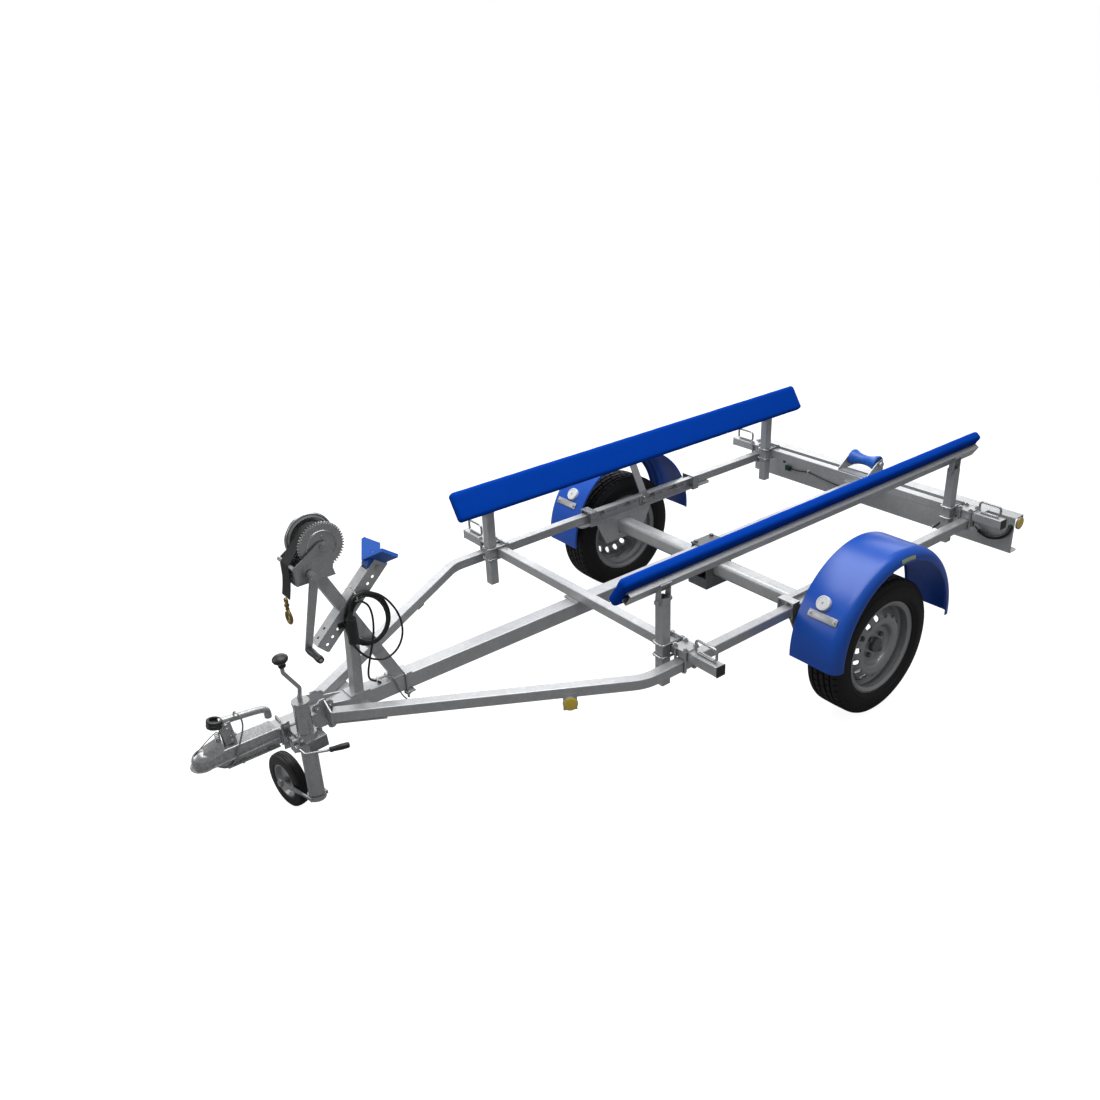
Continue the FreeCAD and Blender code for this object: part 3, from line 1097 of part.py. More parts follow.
def bow_block():
    """A moulded V block that takes the boat's stem, bolted between the channel's sides."""
    along, up, run = stop_frame()

    def at(s, h, y):
        return (STOP_LOW[0] + along[0] * s + up[0] * h, y, STOP_LOW[1] + along[1] * s + up[1] * h)
    s0, h0 = run - 23, 54.0
    lean = 0.18               # the V leans back on its bolt
    drop = (along[0] * lean - up[0] * 0.984, 0, along[1] * lean - up[1] * 0.984)
    push = tuple(WING_LENGTH * c for c in drop)
    slope = math.hypot(WING_RUN, WING_HALF)
    back, out = WING_THICK * WING_HALF / slope, WING_THICK * WING_RUN / slope
    heel = WING_THICK * slope / WING_HALF
    parts = []
    for s in (1, -1):
        parts.append(prism([at(s0, h0, 0), at(s0 + WING_RUN, h0, s * WING_HALF),
                            at(s0 + WING_RUN - back, h0, s * (WING_HALF + out)),
                            at(s0 - heel, h0, 0)], push))
    y = STOP_WIDTH / 2 - 3.4
    root = prism([at(run - 50, -12, -y), at(run - 10, -12, -y), at(run - 24, 46, -y),
                  at(run - 50, 34, -y)], (0, 2 * y, 0))
    hole = cyl(at(run - BLOCK_BOLT, 0, -y - 1), (0, 1, 0), BLOCK_BOLT_R + 0.3, 2 * y + 2)
    block = fused(parts + [root]).cut(hole)
    top, low = STOP_DEPTH / 2 + 3.5, -STOP_DEPTH / 2 - 0.5
    for s in (1, -1):
        side = s * (STOP_WIDTH / 2 - 3.4)
        block = block.cut(prism([at(run - 70, top, side), at(run + 8.5, top, side),
                                 at(run + 8.5, low, side), at(run - 70, low, side)], (0, s * 3.8, 0)))
        block = block.cut(prism([at(run - 70, 12, side), at(run - 18, 12, side), at(run - 18, -12, side),
                                 at(run - 70, -12, side)], (0, s * 12, 0)))
    return block


def gear_blank(teeth, module, thickness, backlash, phase):
    """An involute spur gear drawn about the origin in the XZ plane, thick along +Y."""
    pressure = math.radians(20)
    rp = teeth * module / 2
    rb = rp * math.cos(pressure)
    ra = rp + module
    rf = rp - 1.25 * module
    inv = math.tan(pressure) - pressure
    half_tooth = math.pi / 2 / teeth - backlash / 2 / rp

    def flank(r):
        if r <= rb:
            return half_tooth + inv
        a = math.acos(rb / r)
        return half_tooth + inv - (math.tan(a) - a)
    start = max(rb, rf)
    radii = [start + (ra - start) * k / 3 for k in range(4)]
    loop = []
    for k in range(teeth):
        mid = phase + 2 * math.pi * k / teeth
        if rf < start:
            loop.append((rf, mid - flank(start)))
        loop += [(r, mid - flank(r)) for r in radii]
        loop += [(r, mid + flank(r)) for r in reversed(radii)]
        if rf < start:
            loop.append((rf, mid + flank(start)))
    pts = [Vector(r * math.cos(a), 0, r * math.sin(a)) for r, a in loop]
    return Part.Face(Part.makePolygon(pts + [pts[0]])).extrude(Vector(0, thickness, 0))


def pinion_place():
    reach = GEAR_MODULE * (GEAR_TEETH + PINION_TEETH) / 2 + 0.15
    a = math.radians(PINION_BEARING)
    return WINCH_X + reach * math.cos(a), WINCH_Z + reach * math.sin(a)


def winch_frame():
    """A folded frame: base, two shaped side plates and the strap guide across the front."""
    h, t, zb = WINCH_HALF, WINCH_PLATE, WINCH_BASE_Z
    px, pz = pinion_place()
    front, top = WINCH_X + GUIDE_AHEAD, zb + GUIDE_UP
    base = box(WINCH_X - 28, front, -h, h, zb - t, zb)
    parts = [base]
    for s in (1, -1):
        y0 = s * h
        side = prism([(WINCH_X - 28, y0, zb - t), (front, y0, zb - t), (front, y0, top - 2),
                      (front - 6, y0, top + 8), (WINCH_X + 12, y0, WINCH_Z + 17),
                      (WINCH_X - 8, y0, WINCH_Z + 17), (WINCH_X - 19, y0, WINCH_Z + 6),
                      (WINCH_X - 30, y0, WINCH_Z - 40), (WINCH_X - 22, y0, zb + 22)],
                     (0, -s * t, 0))
        parts.append(side)
    guide = box(front - 4, front, -h, h, zb, top - 4)
    bar = cyl((front, -h, top), (0, 1, 0), GUIDE_R, 2 * h)
    shape = fused(parts + [guide, bar])
    shape = shape.cut(cyl((px, -h - 1, pz), (0, 1, 0), 8.0 + PIN_GAP, 2 * h + 2))
    reach = h + 6
    pin = cyl((WINCH_X, -reach - 4, WINCH_Z), (0, 1, 0), 8.0, 2 * reach + 8)
    nuts = [hexagon((WINCH_X, s * (WINCH_HALF + 0.3), WINCH_Z), (0, s, 0), 24.0, 8.0) for s in (1, -1)]
    return fused([shape, pin] + nuts)


def winch_drum():
    """The drum: hub, far flange and the big toothed gear with its lightening holes."""
    gear = gear_blank(GEAR_TEETH, GEAR_MODULE, 9.0, GEAR_BACKLASH, 0.0)
    gear.translate(Vector(WINCH_X, 36.0, WINCH_Z))
    hub_tube = cyl((WINCH_X, -46, WINCH_Z), (0, 1, 0), 24.0, 92)
    flange = turned_y([(20, -45), (76, -45), (80, -42), (80, -36), (77, -36), (77, -41), (20, -41)],
                      WINCH_X, 0, WINCH_Z)
    wrap = turned_y([(20.0, -27), (WRAP_R, -27), (WRAP_R, 27), (20.0, 27)], WINCH_X, 0, WINCH_Z)
    drum = fused([gear, hub_tube, flange, wrap])
    drum = drum.cut(cyl((WINCH_X, -60, WINCH_Z), (0, 1, 0), 8.0 + PIN_GAP, 120))
    return drum


def winch_crank():
    """The pinion shaft and the flat crank arm with its grip pin."""
    px, pz = pinion_place()
    bearing = math.radians(PINION_BEARING)
    # a pinion gap faces the gear tooth that points along the line of centres
    gear_pitch = 2 * math.pi / GEAR_TEETH
    lead = (bearing % gear_pitch) / gear_pitch
    pinion_pitch = 2 * math.pi / PINION_TEETH
    phase = bearing + math.pi + pinion_pitch * (0.5 + lead)
    pinion = gear_blank(PINION_TEETH, GEAR_MODULE, 13.0, GEAR_BACKLASH, phase)
    pinion.translate(Vector(px, 34.0, pz))
    shaft = cyl((px, -WINCH_HALF - 6, pz), (0, 1, 0), 8.0, 2 * WINCH_HALF + 6 + CRANK_OUT)
    collar = cyl((px, WINCH_HALF + 5, pz), (0, 1, 0), 14.0, CRANK_OUT - 5)
    a = math.radians(CRANK_LEAN)
    ex, ez = px + CRANK_LENGTH * math.cos(a), pz + CRANK_LENGTH * math.sin(a)
    nx, nz = -math.sin(a), math.cos(a)
    y0 = WINCH_HALF + CRANK_OUT
    arm = prism([(px + nx * 15, y0, pz + nz * 15), (ex + nx * 11, y0, ez + nz * 11),
                 (ex - nx * 11, y0, ez - nz * 11), (px - nx * 15, y0, pz - nz * 15)], (0, 7, 0))
    arm = fused([arm, cyl((px, y0, pz), (0, 1, 0), 15.0, 7), cyl((ex, y0, ez), (0, 1, 0), 11.0, 7)])
    pin = cyl((ex, y0 + 7, ez), (0, 1, 0), 6.0, 84)
    nut = hexagon((px, y0 + 7, pz), (0, 1, 0), 24.0, 7.0)
    return fused([pinion, shaft, collar, arm, pin, nut])


def crank_grip():
    px, pz = pinion_place()
    a = math.radians(CRANK_LEAN)
    ex, ez = px + CRANK_LENGTH * math.cos(a), pz + CRANK_LENGTH * math.sin(a)
    y0 = WINCH_HALF + CRANK_OUT + 7.3
    grip = turned_y([(6.0, 0), (10, 0), (12.5, 6), (12.5, 20), (11.0, 44), (12.5, 74), (11, 84),
                     (6.0, 84)], ex, y0, ez)
    return grip


def strap_run():
    """Middle of the guide bar, its radius, and the angle at which the strap leaves the drum."""
    bx, bz, br = WINCH_X + GUIDE_AHEAD, WINCH_BASE_Z + GUIDE_UP, GUIDE_R + STRAP_GAP
    dx, dz = bx - WINCH_X, bz - WINCH_Z
    lean = math.atan2(dz, dx) + math.acos((WRAP_R + STRAP_GAP - br) / math.hypot(dx, dz))
    return bx, bz, br, lean


def winch_strap():
    """Webbing from the wound drum over the guide bar, hanging to the hook."""
    bx, bz, br, lean = strap_run()
    rw = WRAP_R + STRAP_GAP
    t = STRAP_THICK

    def on(cx, cz, r, a):
        return Vector(cx + r * math.cos(a), -24, cz + r * math.sin(a))
    low = bz - STRAP_HANG
    inner0, inner1 = on(WINCH_X, WINCH_Z, rw, lean), on(bx, bz, br, lean)
    outer0, outer1 = on(WINCH_X, WINCH_Z, rw + t, lean), on(bx, bz, br + t, lean)
    edges = [Part.LineSegment(inner0, inner1).toShape(),
             Part.Arc(inner1, on(bx, bz, br, lean / 2), on(bx, bz, br, 0)).toShape(),
             Part.LineSegment(on(bx, bz, br, 0), Vector(bx + br, -24, low)).toShape(),
             Part.LineSegment(Vector(bx + br, -24, low), Vector(bx + br + t, -24, low)).toShape(),
             Part.LineSegment(Vector(bx + br + t, -24, low), on(bx, bz, br + t, 0)).toShape(),
             Part.Arc(on(bx, bz, br + t, 0), on(bx, bz, br + t, lean / 2), outer1).toShape(),
             Part.LineSegment(outer1, outer0).toShape(), Part.LineSegment(outer0, inner0).toShape()]
    return Part.Face(Part.Wire(edges)).extrude(Vector(0, 48, 0))


def strap_hook():
    """A snap hook in the strap's end loop."""
    bx, bz, br, _ = strap_run()
    x, top = bx + br + STRAP_THICK / 2, bz - STRAP_HANG
    eye = cyl((x - 4, 0, top - 10.2), (1, 0, 0), 10.0, 8).cut(
        cyl((x - 5, 0, top - 10.2), (1, 0, 0), 4.5, 10))
    shank = box(x - 4, x + 4, -5, 5, top - 40, top - 19)
    hook = rod([(x, 0, top - 38), (x, 0, top - 52), (x, 20, top - 66), (x, 12, top - 88),
                (x, -12, top - 88), (x, -17, top - 66), (x, -10, top - 54)], 4.5, 8.0)
    return fused([eye, shank, hook])


def stance():
    """Pitch that lets the tyres and the jockey wheel share one floor, by fixed steps."""
    x, _, z = jockey_centre()
    axle_way = abs(math.sin(math.radians(JOCKEY_SWIVEL)))
    pitch = 0.07
    for _ in range(60):
        tip = math.asin(axle_way * math.sin(pitch))
        height = (JOCKEY_R - JOCKEY_CROWN) * math.cos(tip) + JOCKEY_CROWN
        reach = math.hypot(x, z)
        pitch = math.atan2(z, x) - math.asin((height - TYRE_RADIUS) / reach)
    return pitch


# ---- cable ------------------------------------------------------------------------------
def corner_arcs(points, closed):
    """Straight runs joined by tangent arcs: the wire, its start, its first way and the radii."""
    pts = [Vector(*p) for p in points]
    count = len(pts)
    bends, radii = [], []
    for k in range(0 if closed else 1, count if closed else count - 1):
        here = pts[k]
        u, v = here.sub(pts[k - 1]), pts[(k + 1) % count].sub(here)
        turn = u.getAngle(v)
        radius = 0.45 * min(u.Length, v.Length) / math.tan(turn / 2)
        radii.append(radius)
        u.normalize()
        v.normalize()
        cut = radius * math.tan(turn / 2)
        inward = v.sub(u).normalize()
        bends.append((here.sub(u * cut), here.add(inward * (radius / math.cos(turn / 2) - radius)),
                      here.add(v * cut)))
    ends = [bends[-1][2]] if closed else [pts[0]]
    pieces = []
    for p, mid, q in bends:
        pieces += [Part.LineSegment(ends[-1], p).toShape(), Part.Arc(p, mid, q).toShape()]
        ends.append(q)
    if not closed:
        pieces.append(Part.LineSegment(ends[-1], pts[-1]).toShape())
    way = bends[0][0].sub(ends[0])
    return Part.Wire(pieces), ends[0], way, radii


def cord(points, radius, name, closed=False):
    wire, start, way, radii = corner_arcs(points, closed)
    disc = Part.Wire(Part.Circle(start, way, radius).toShape())
    tube = wire.makePipeShell([disc], True, False)
    print(name, "radii", [round(r) for r in radii], "length", round(wire.Length), "volume ratio",
          round(tube.Volume / (math.pi * radius ** 2 * wire.Length), 4))
    return tube


COIL_Y = 31.2
BUNDLE_R = 7.6
# places along X here are measured from the winch post's rear foot
BUNDLE_LOOP = ((120, 569), (89, 571), (48, 548), (20, 504), (12, 452), (31, 403),
               (73, 378), (121, 386), (155, 424), (166, 478), (154, 530))
LOOSE_TURN = ((115, 31, 567), (87, 41, 575), (43, 47, 556), (5, 51, 506), (-18, 53, 446),
              (-19, 54, 384), (7, 53, 334), (53, 50, 312), (103, 45, 326), (139, 38, 366),
              (155, 31, 420))
PLUG_LEAD = ((PLUG_X, PLUG_Y, PLUG_Z + 111.1), (PLUG_X - 1, PLUG_Y - 1, PLUG_Z + 134),
             (PLUG_X - 16, PLUG_Y - 10, PLUG_Z + 152), (PLUG_X - 38, PLUG_Y - 22, PLUG_Z + 150),
             (PLUG_X - 54, PLUG_Y - 26, PLUG_Z + 144))
CABLE_ROUTE = (
    (113, 31, 567), (102, 44, 536), (92, 51, 496), (89, 53, 452), (95, 52, 408),
    (107, 49, 366), (118, 46, 326), (124, 42, 290), (121, 34, 260), (107, 24, 238),
    (87, 17, 223), (69, 12, 207))


def cable_coil():
    """The turns of the light cable that hang on the bow stop: a bundle and one wide loose turn."""
    bundle = cord([(REAR_LEG_X + x, COIL_Y, z) for x, z in BUNDLE_LOOP], BUNDLE_R, "bundle", True)
    loose = cord([(REAR_LEG_X + x, y, z) for x, y, z in LOOSE_TURN], CORD_R, "loose turn")
    lead = cord(PLUG_LEAD, CORD_R, "plug lead")
    return fused([bundle, loose, lead])


def cable_run():
    """The cable from the hung coil down to the drawbar and in through its top."""
    below = box(REAR_LEG_X + 20, REAR_LEG_X + 120, -20, 40, DRAWBAR_TOP - 20, DRAWBAR_TOP)
    route = [(REAR_LEG_X + x, y, z) for x, y, z in CABLE_ROUTE]
    return cord(route, CORD_R, "cable").cut(cable_coil()).cut(below)


def plug_holder():
    """A moulded cup on an arm from the channel's near side, outboard of the hung turns."""
    y0 = STOP_WIDTH / 2
    foot = box(PLUG_X + 15, PLUG_X + 34, y0, y0 + 3, PLUG_Z + 50, PLUG_Z + 68)
    arm = box(PLUG_X + 14, PLUG_X + 18, y0, PLUG_Y, PLUG_Z + 50, PLUG_Z + 68)
    cup = cyl((PLUG_X, PLUG_Y, PLUG_Z), (0, 0, 1), 18.0, 72)
    bore = cyl((PLUG_X, PLUG_Y, PLUG_Z + 6), (0, 0, 1), 15.5, 80)
    return fused([foot, arm, cup]).cut(bore)


def plug():
    """The round plug with its cap and the cord's boot on top."""
    body = cyl((PLUG_X, PLUG_Y, PLUG_Z + 8), (0, 0, 1), 15.2, 66)
    cap = cyl((PLUG_X, PLUG_Y, PLUG_Z + 72.2), (0, 0, 1), 17.5, 18)
    boot = Part.makeCone(12.0, 5.5, 21.0, Vector(PLUG_X, PLUG_Y, PLUG_Z + 90), Vector(0, 0, 1))
    return fused([body, cap, boot])


def build():
    both = (1, -1)
    crosses = (FRONT_CROSS_X, REAR_CROSS_X)
    corners = [(x, s) for x in crosses for s in both]
    nodes = {}
    rail = side_rail()
    nodes["side_rails"] = [rail, mirrored(rail)]
    nodes["drawbar_tube"] = [drawbar()]
    nodes["nose_gusset"] = [nose_gusset(sign) for sign in both]
    nodes["cross_tubes"] = [cross_tube(x) for x in crosses]
    nodes["tie_loops"] = [tie_loop(*c) for c in corners]
    nodes["tube_caps"] = [tube_cap(*c) for c in corners]
    nodes["bunk_posts"] = [post(*c) for c in corners]
    rods, plates = [], [packing_plate(x) for x in crosses]
    for corner in corners:
        for maker in (post_clamp, rail_clamp):
            bent, plate = maker(*corner)
            rods += bent
            plates.append(plate)
    nodes["clamp_rods"] = rods
    nodes["clamp_plates"] = plates
    nodes["rear_beam"] = [rear_beam()]
    nodes["tail_lamps"] = [tail_lamp(s) for s in both]
    nodes["side_reflectors"] = [f(s) for f in (end_reflector, rail_reflector) for s in both]
    nodes["keel_roller"] = [keel_roller()]
    nodes["roller_bracket"] = [roller_bracket()]
    pairs = {"bunk_pad": bunk_pad(), "bunk_channel": bunk_channel(), "tyre": tyre(),
             "rim": rim(), "hub": hub()}
    for name, shape in pairs.items():
        nodes[name + "_left"] = [shape]
        nodes[name + "_right"] = [mirrored(shape)]
    nodes["axle_beam"] = [axle_beam()]
    nodes["axle_saddle"] = [saddle()]
    shared = {"swing_arms": [swing_arm()], "axle_hangers": [axle_hanger()],
              "mudguards": [mudguard()], "mudguard_struts": [mudguard_strut()],
              "hanger_clamps": [hanger_clamp(HANGER_FRONT_X), hanger_clamp(HANGER_REAR_X - 38)]}
    for name, shapes in shared.items():
        nodes[name] = shapes + [mirrored(shape) for shape in shapes]
    nodes["coupling_body"] = [coupling_body()]
    nodes["coupling_handle"] = [coupling_handle()]
    nodes["coupling_grip"] = [coupling_grip()]
    nodes["jack_bracket"] = [jack_bracket()]
    nodes["clamp_lever"] = [jack_clamp_arm()]
    nodes["jack_outer_tube"] = [jack_outer_tube()]
    nodes["jack_crank"] = [jack_crank()]
    nodes["jack_knob"] = [jack_knob()]
    nodes["jack_leg"] = [jack_leg()]
    nodes["jockey_tyre"] = [jockey_tyre()]
    nodes["jockey_rim"] = [jockey_rim()]
    nodes["winch_post"] = [winch_post()]
    nodes["bow_stop_channel"] = [bow_stop_channel()]
    nodes["bow_block"] = [bow_block()]
    nodes["winch_frame"] = [winch_frame()]
    nodes["winch_drum"] = [winch_drum()]
    nodes["winch_crank"] = [winch_crank()]
    nodes["crank_grip"] = [crank_grip()]
    nodes["winch_strap"] = [winch_strap()]
    nodes["strap_hook"] = [strap_hook()]
    nodes["plug_holder"] = [plug_holder()]
    nodes["plug"] = [plug()]
    nodes["cable_coil"] = [cable_coil()]
    nodes["cable_run"] = [cable_run()]
    return nodes


def main():
    os.makedirs("parts", exist_ok=True)
    pitch = stance()
    nodes = build()
    turn = FreeCAD.Placement(Vector(0, 0, 0), FreeCAD.Rotation(Vector(0, 1, 0), math.degrees(pitch)))
    low, high = 1e9, -1e9
    shapes = {}
    for name, solids in nodes.items():
        shape = compound(solids)
        shape.Placement = turn.multiply(shape.Placement)
        shapes[name] = shape
        span = shape.optimalBoundingBox(False)
        low, high = min(low, span.XMin), max(high, span.XMax)
    middle = (low + high) / 2
    for name, shape in shapes.items():
        shape.translate(Vector(-middle, 0, TYRE_RADIUS))
        solids = shape.Solids
        print(name, len(solids), "valid" if shape.isValid() else "INVALID",
              round(sum(s.Volume for s in solids) / 1000, 1))
        shape.exportStep("parts/" + name + ".step")
    print("nodes", len(shapes), "pitch", round(math.degrees(pitch), 4), "shift", round(-middle, 3))


main()
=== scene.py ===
"""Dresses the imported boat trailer: finishes, tyres, carpeted bunks, webbing, light cable, studio.

The pieces are drawn in the chassis frame, in millimetres, as the CAD source is: +X forward to
the coupling, +Y left, +Z up, origin on the wheel axis. Stance carries them to the row frame.
"""
from __future__ import annotations

import json  # noqa: E402
import logging  # noqa: E402
import math  # noqa: E402
from dataclasses import dataclass, field  # noqa: E402
from enum import Enum  # noqa: E402
from typing import ClassVar, Iterable, Sequence  # noqa: E402

import bmesh  # noqa: E402
import bpy  # noqa: E402
from mathutils import Matrix, Vector, noise  # noqa: E402


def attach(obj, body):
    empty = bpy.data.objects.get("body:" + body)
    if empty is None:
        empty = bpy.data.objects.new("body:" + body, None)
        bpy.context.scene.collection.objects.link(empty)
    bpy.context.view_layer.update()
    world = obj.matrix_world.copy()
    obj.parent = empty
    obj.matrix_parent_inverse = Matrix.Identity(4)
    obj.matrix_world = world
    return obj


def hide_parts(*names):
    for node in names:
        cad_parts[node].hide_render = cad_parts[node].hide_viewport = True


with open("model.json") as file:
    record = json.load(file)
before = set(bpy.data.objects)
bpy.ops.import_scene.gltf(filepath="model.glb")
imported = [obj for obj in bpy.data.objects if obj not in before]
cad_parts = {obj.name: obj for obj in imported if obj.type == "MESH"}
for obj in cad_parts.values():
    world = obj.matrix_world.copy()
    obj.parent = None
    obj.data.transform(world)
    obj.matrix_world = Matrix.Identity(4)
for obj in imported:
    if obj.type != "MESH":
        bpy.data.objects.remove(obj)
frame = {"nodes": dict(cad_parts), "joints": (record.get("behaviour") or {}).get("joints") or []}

LOG = logging.getLogger("trailer")
Point = Sequence[float]
Flat = tuple[float, float]
Form = bmesh.types.BMesh
Node = bpy.types.Node
Socket = bpy.types.NodeSocket
Tree = bpy.types.NodeTree
Sockets = tuple[Socket, Socket, Socket]
LEFT, UP, DOWN, AHEAD = (0, 1, 0), (0, 0, 1), (0, 0, -1), (1, 0, 0)


class Side(Enum):
    """Which half of the trailer a piece stands on; the value is the sign of its Y."""

    LEFT = 1
    RIGHT = -1


class Detail(Enum):
    """How a piece's edges are shaded: the angle in degrees above which they stay sharp."""

    SOFT = 60.0
    MACHINED = 32.0


# ---- colour and nodes -------------------------------------------------------------------------
def linear(code: str) -> tuple[float, float, float, float]:
    """Turns an sRGB hex code into a linear colour.

    Args:
        code: Six hex digits.

    Returns:
        Red, green, blue and an alpha of one.
    """
    parts = [int(code[k:k + 2], 16) / 255 for k in (0, 2, 4)]
    red, green, blue = (p / 12.92 if p <= 0.04045 else ((p + 0.055) / 1.055) ** 2.4
                        for p in parts)
    return red, green, blue, 1.0


def bare_tree(owner: bpy.types.Material | bpy.types.World) -> Tree:
    """Gives a material or a world an empty node tree."""
    owner.use_nodes = True
    owner.node_tree.nodes.clear()
    return owner.node_tree


def add_node(tree: Tree, kind: str, settings: dict | None = None,
             links: dict | None = None) -> Node:
    """Adds one shader node.

    Args:
        tree: The node tree.
        kind: Blender's name for the node, without the leading "ShaderNode".
        settings: Values by property name or by input socket name or number.
        links: Output sockets by the input socket that they feed.

    Returns:
        The new node.
    """
    node = tree.nodes.new("ShaderNode" + kind)
    for key, value in (settings or {}).items():
        if isinstance(key, str) and hasattr(node, key):
            setattr(node, key, value)
        else:
            node.inputs[key].default_value = value
    for key, source in (links or {}).items():
        tree.links.new(source, node.inputs[key])
    return node


def texture(tree: Tree, kind: str, where: Socket, size_mm: float, **settings: object) -> Node:
    """Adds a texture.

    Args:
        tree: The node tree.
        kind: Blender's name for the texture.
        where: Its coordinates, in metres.
        size_mm: Width of one of its features.
        **settings: Other values, by property or input name.

    Returns:
        The new node.
    """
    return add_node(tree, "Tex" + kind, {"Scale": 1000.0 / size_mm, **settings},
                    {"Vector": where})


@dataclass(frozen=True)
class Finish:
    """A surface finish: what it is made of, its two tones and how it takes the light."""

    name: str
    colour: str
    second: str
    roughness: float
    metallic: float = 0.0
    coat: float = 0.0
    sheen: float = 0.0
    specular: float = 0.5
    patch_mm: float = 60.0
    grain_mm: float = 2.0
    grain_depth_mm: float = 0.05
    roughness_swing: float = 0.08
    relief: ClassVar[float] = 0.6

    def pattern(self, tree: Tree, where: Socket) -> Sockets:
        """Draws what makes the surface uneven: here broad patches and a fine grain.

        Args:
            tree: The material's node tree.
            where: Object coordinates, in metres.

        Returns:
            The share of the second tone, the place in the spread of roughness, and the height.
        """
        patch = texture(tree, "Noise", where, self.patch_mm, Detail=4.0).outputs[0]
        grain = texture(tree, "Noise", where, self.grain_mm, Detail=2.0).outputs[0]
        return patch, patch, grain

    def build(self) -> bpy.types.Material:
        """Makes the Blender material.

        Returns:
            The material, with its nodes.
        """
        material = bpy.data.materials.new(self.name)
        tree = bare_tree(material)
        where = add_node(tree, "TexCoord").outputs["Object"]
        tone, shine, height = self.pattern(tree, where)
        mix = add_node(tree, "Mix", {"data_type": "RGBA", 6: linear(self.colour),
                                     7: linear(self.second)}, {0: tone})
        spread = add_node(tree, "MapRange", {
            "To Min": max(0.02, self.roughness - self.roughness_swing),
            "To Max": min(1.0, self.roughness + self.roughness_swing)}, {"Value": shine})
        bump = add_node(tree, "Bump", {"Strength": self.relief,
                                       "Distance": self.grain_depth_mm / 1000},
                        {"Height": height})
        shader = add_node(tree, "BsdfPrincipled", {
            "Metallic": self.metallic, "Coat Weight": self.coat, "Coat Roughness": 0.12,
            "Sheen Weight": self.sheen, "Sheen Roughness": 0.6,
            "Sheen Tint": linear(self.second), "Specular IOR Level": self.specular},
            {"Base Color": mix.outputs[2], "Roughness": spread.outputs[0],
             "Normal": bump.outputs[0]})
        add_node(tree, "OutputMaterial", None, {"Surface": shader.outputs[0]})
        return material


@dataclass(frozen=True)
class ZincFinish(Finish):
    """Hot-dip galvanised or plated steel: crystals of tone over patches, a soft grey shine."""

    spangle_mm: float = 14.0
    spangle_share: float = 0.35
    relief: ClassVar[float] = 0.5

    def pattern(self, tree: Tree, where: Socket) -> Sockets:
        """Draws zinc crystals over broad patches, with a faint dip-coat waviness."""
        patch = texture(tree, "Noise", where, self.patch_mm, Detail=5.0, Roughness=0.6)
        crystal = texture(tree, "Voronoi", where, self.spangle_mm)
        tone = add_node(tree, "Mix", {0: self.spangle_share},
                        {2: patch.outputs[0], 3: crystal.outputs["Color"]})
        grain = texture(tree, "Noise", where, self.grain_mm, Detail=3.0)
        return tone.outputs[0], patch.outputs[0], grain.outputs[0]


@dataclass(frozen=True)
class CarpetFinish(Finish):
    """Needle-punched carpet: a nap of short fibres that scatter light at the edges."""

    fibre_mm: float = 2.2
    relief: ClassVar[float] = 0.9

    def pattern(self, tree: Tree, where: Socket) -> Sockets:
        """Draws a tufted nap and the paler tips of its fibres."""
        tuft = texture(tree, "Noise", where, self.fibre_mm * 2.5, Detail=6.0, Roughness=0.75)
        fibre = texture(tree, "Noise", where, self.fibre_mm, Detail=3.0, Distortion=1.2)
        nap = add_node(tree, "Mix", {0: 0.5}, {2: tuft.outputs[0], 3: fibre.outputs[0]})
        tips = add_node(tree, "MapRange", {"From Min": 0.35, "From Max": 0.68},
                        {"Value": nap.outputs[0]})
        return tips.outputs[0], fibre.outputs[0], nap.outputs[0]


# a wave texture's band is this much of its unit at scale 1
WAVE_BAND = math.pi / 10


@dataclass(frozen=True)
class WovenFinish(Finish):
    """Polyester webbing: a herringbone of threads that follows the strap's own map."""

    thread_mm: float = 1.6
    relief: ClassVar[float] = 0.8

    def pattern(self, tree: Tree, where: Socket) -> Sockets:
        """Draws crossed threads in the strap's UV map, whose unit is a metre, and dust."""
        flat = add_node(tree, "UVMap").outputs[0]
        across, along = (texture(tree, "Wave", flat, self.thread_mm / WAVE_BAND,
                                 bands_direction=way, Distortion=0.4).outputs["Fac"]
                         for way in ("DIAGONAL", "X"))
        weave = add_node(tree, "Math", {"operation": "MULTIPLY"}, {0: across, 1: along})
        dust = texture(tree, "Noise", where, self.patch_mm)
        return weave.outputs[0], dust.outputs[0], weave.outputs[0]


@dataclass(frozen=True)
class LensFinish(Finish):
    """Moulded reflector or lamp lens: clear coloured acrylic over a grid of prisms."""

    prism_mm: float = 3.2
    relief: ClassVar[float] = 0.35

    def pattern(self, tree: Tree, where: Socket) -> Sockets:
        """Draws the prism grid below a glossy face."""
        prism = texture(tree, "Voronoi", where, self.prism_mm, Randomness=0.1,
                        distance="CHEBYCHEV").outputs["Distance"]
        return prism, prism, prism


@dataclass(frozen=True)
class WireRopeFinish(Finish):
    """Laid steel rope: diagonal strands round a thin line."""

    strand_mm: float = 2.0
    relief: ClassVar[float] = 0.9

    def pattern(self, tree: Tree, where: Socket) -> Sockets:
        """Draws the strands as diagonal bands."""
        strand = texture(tree, "Wave", where, self.strand_mm / WAVE_BAND,
                         bands_direction="DIAGONAL").outputs["Fac"]
        return strand, strand, strand


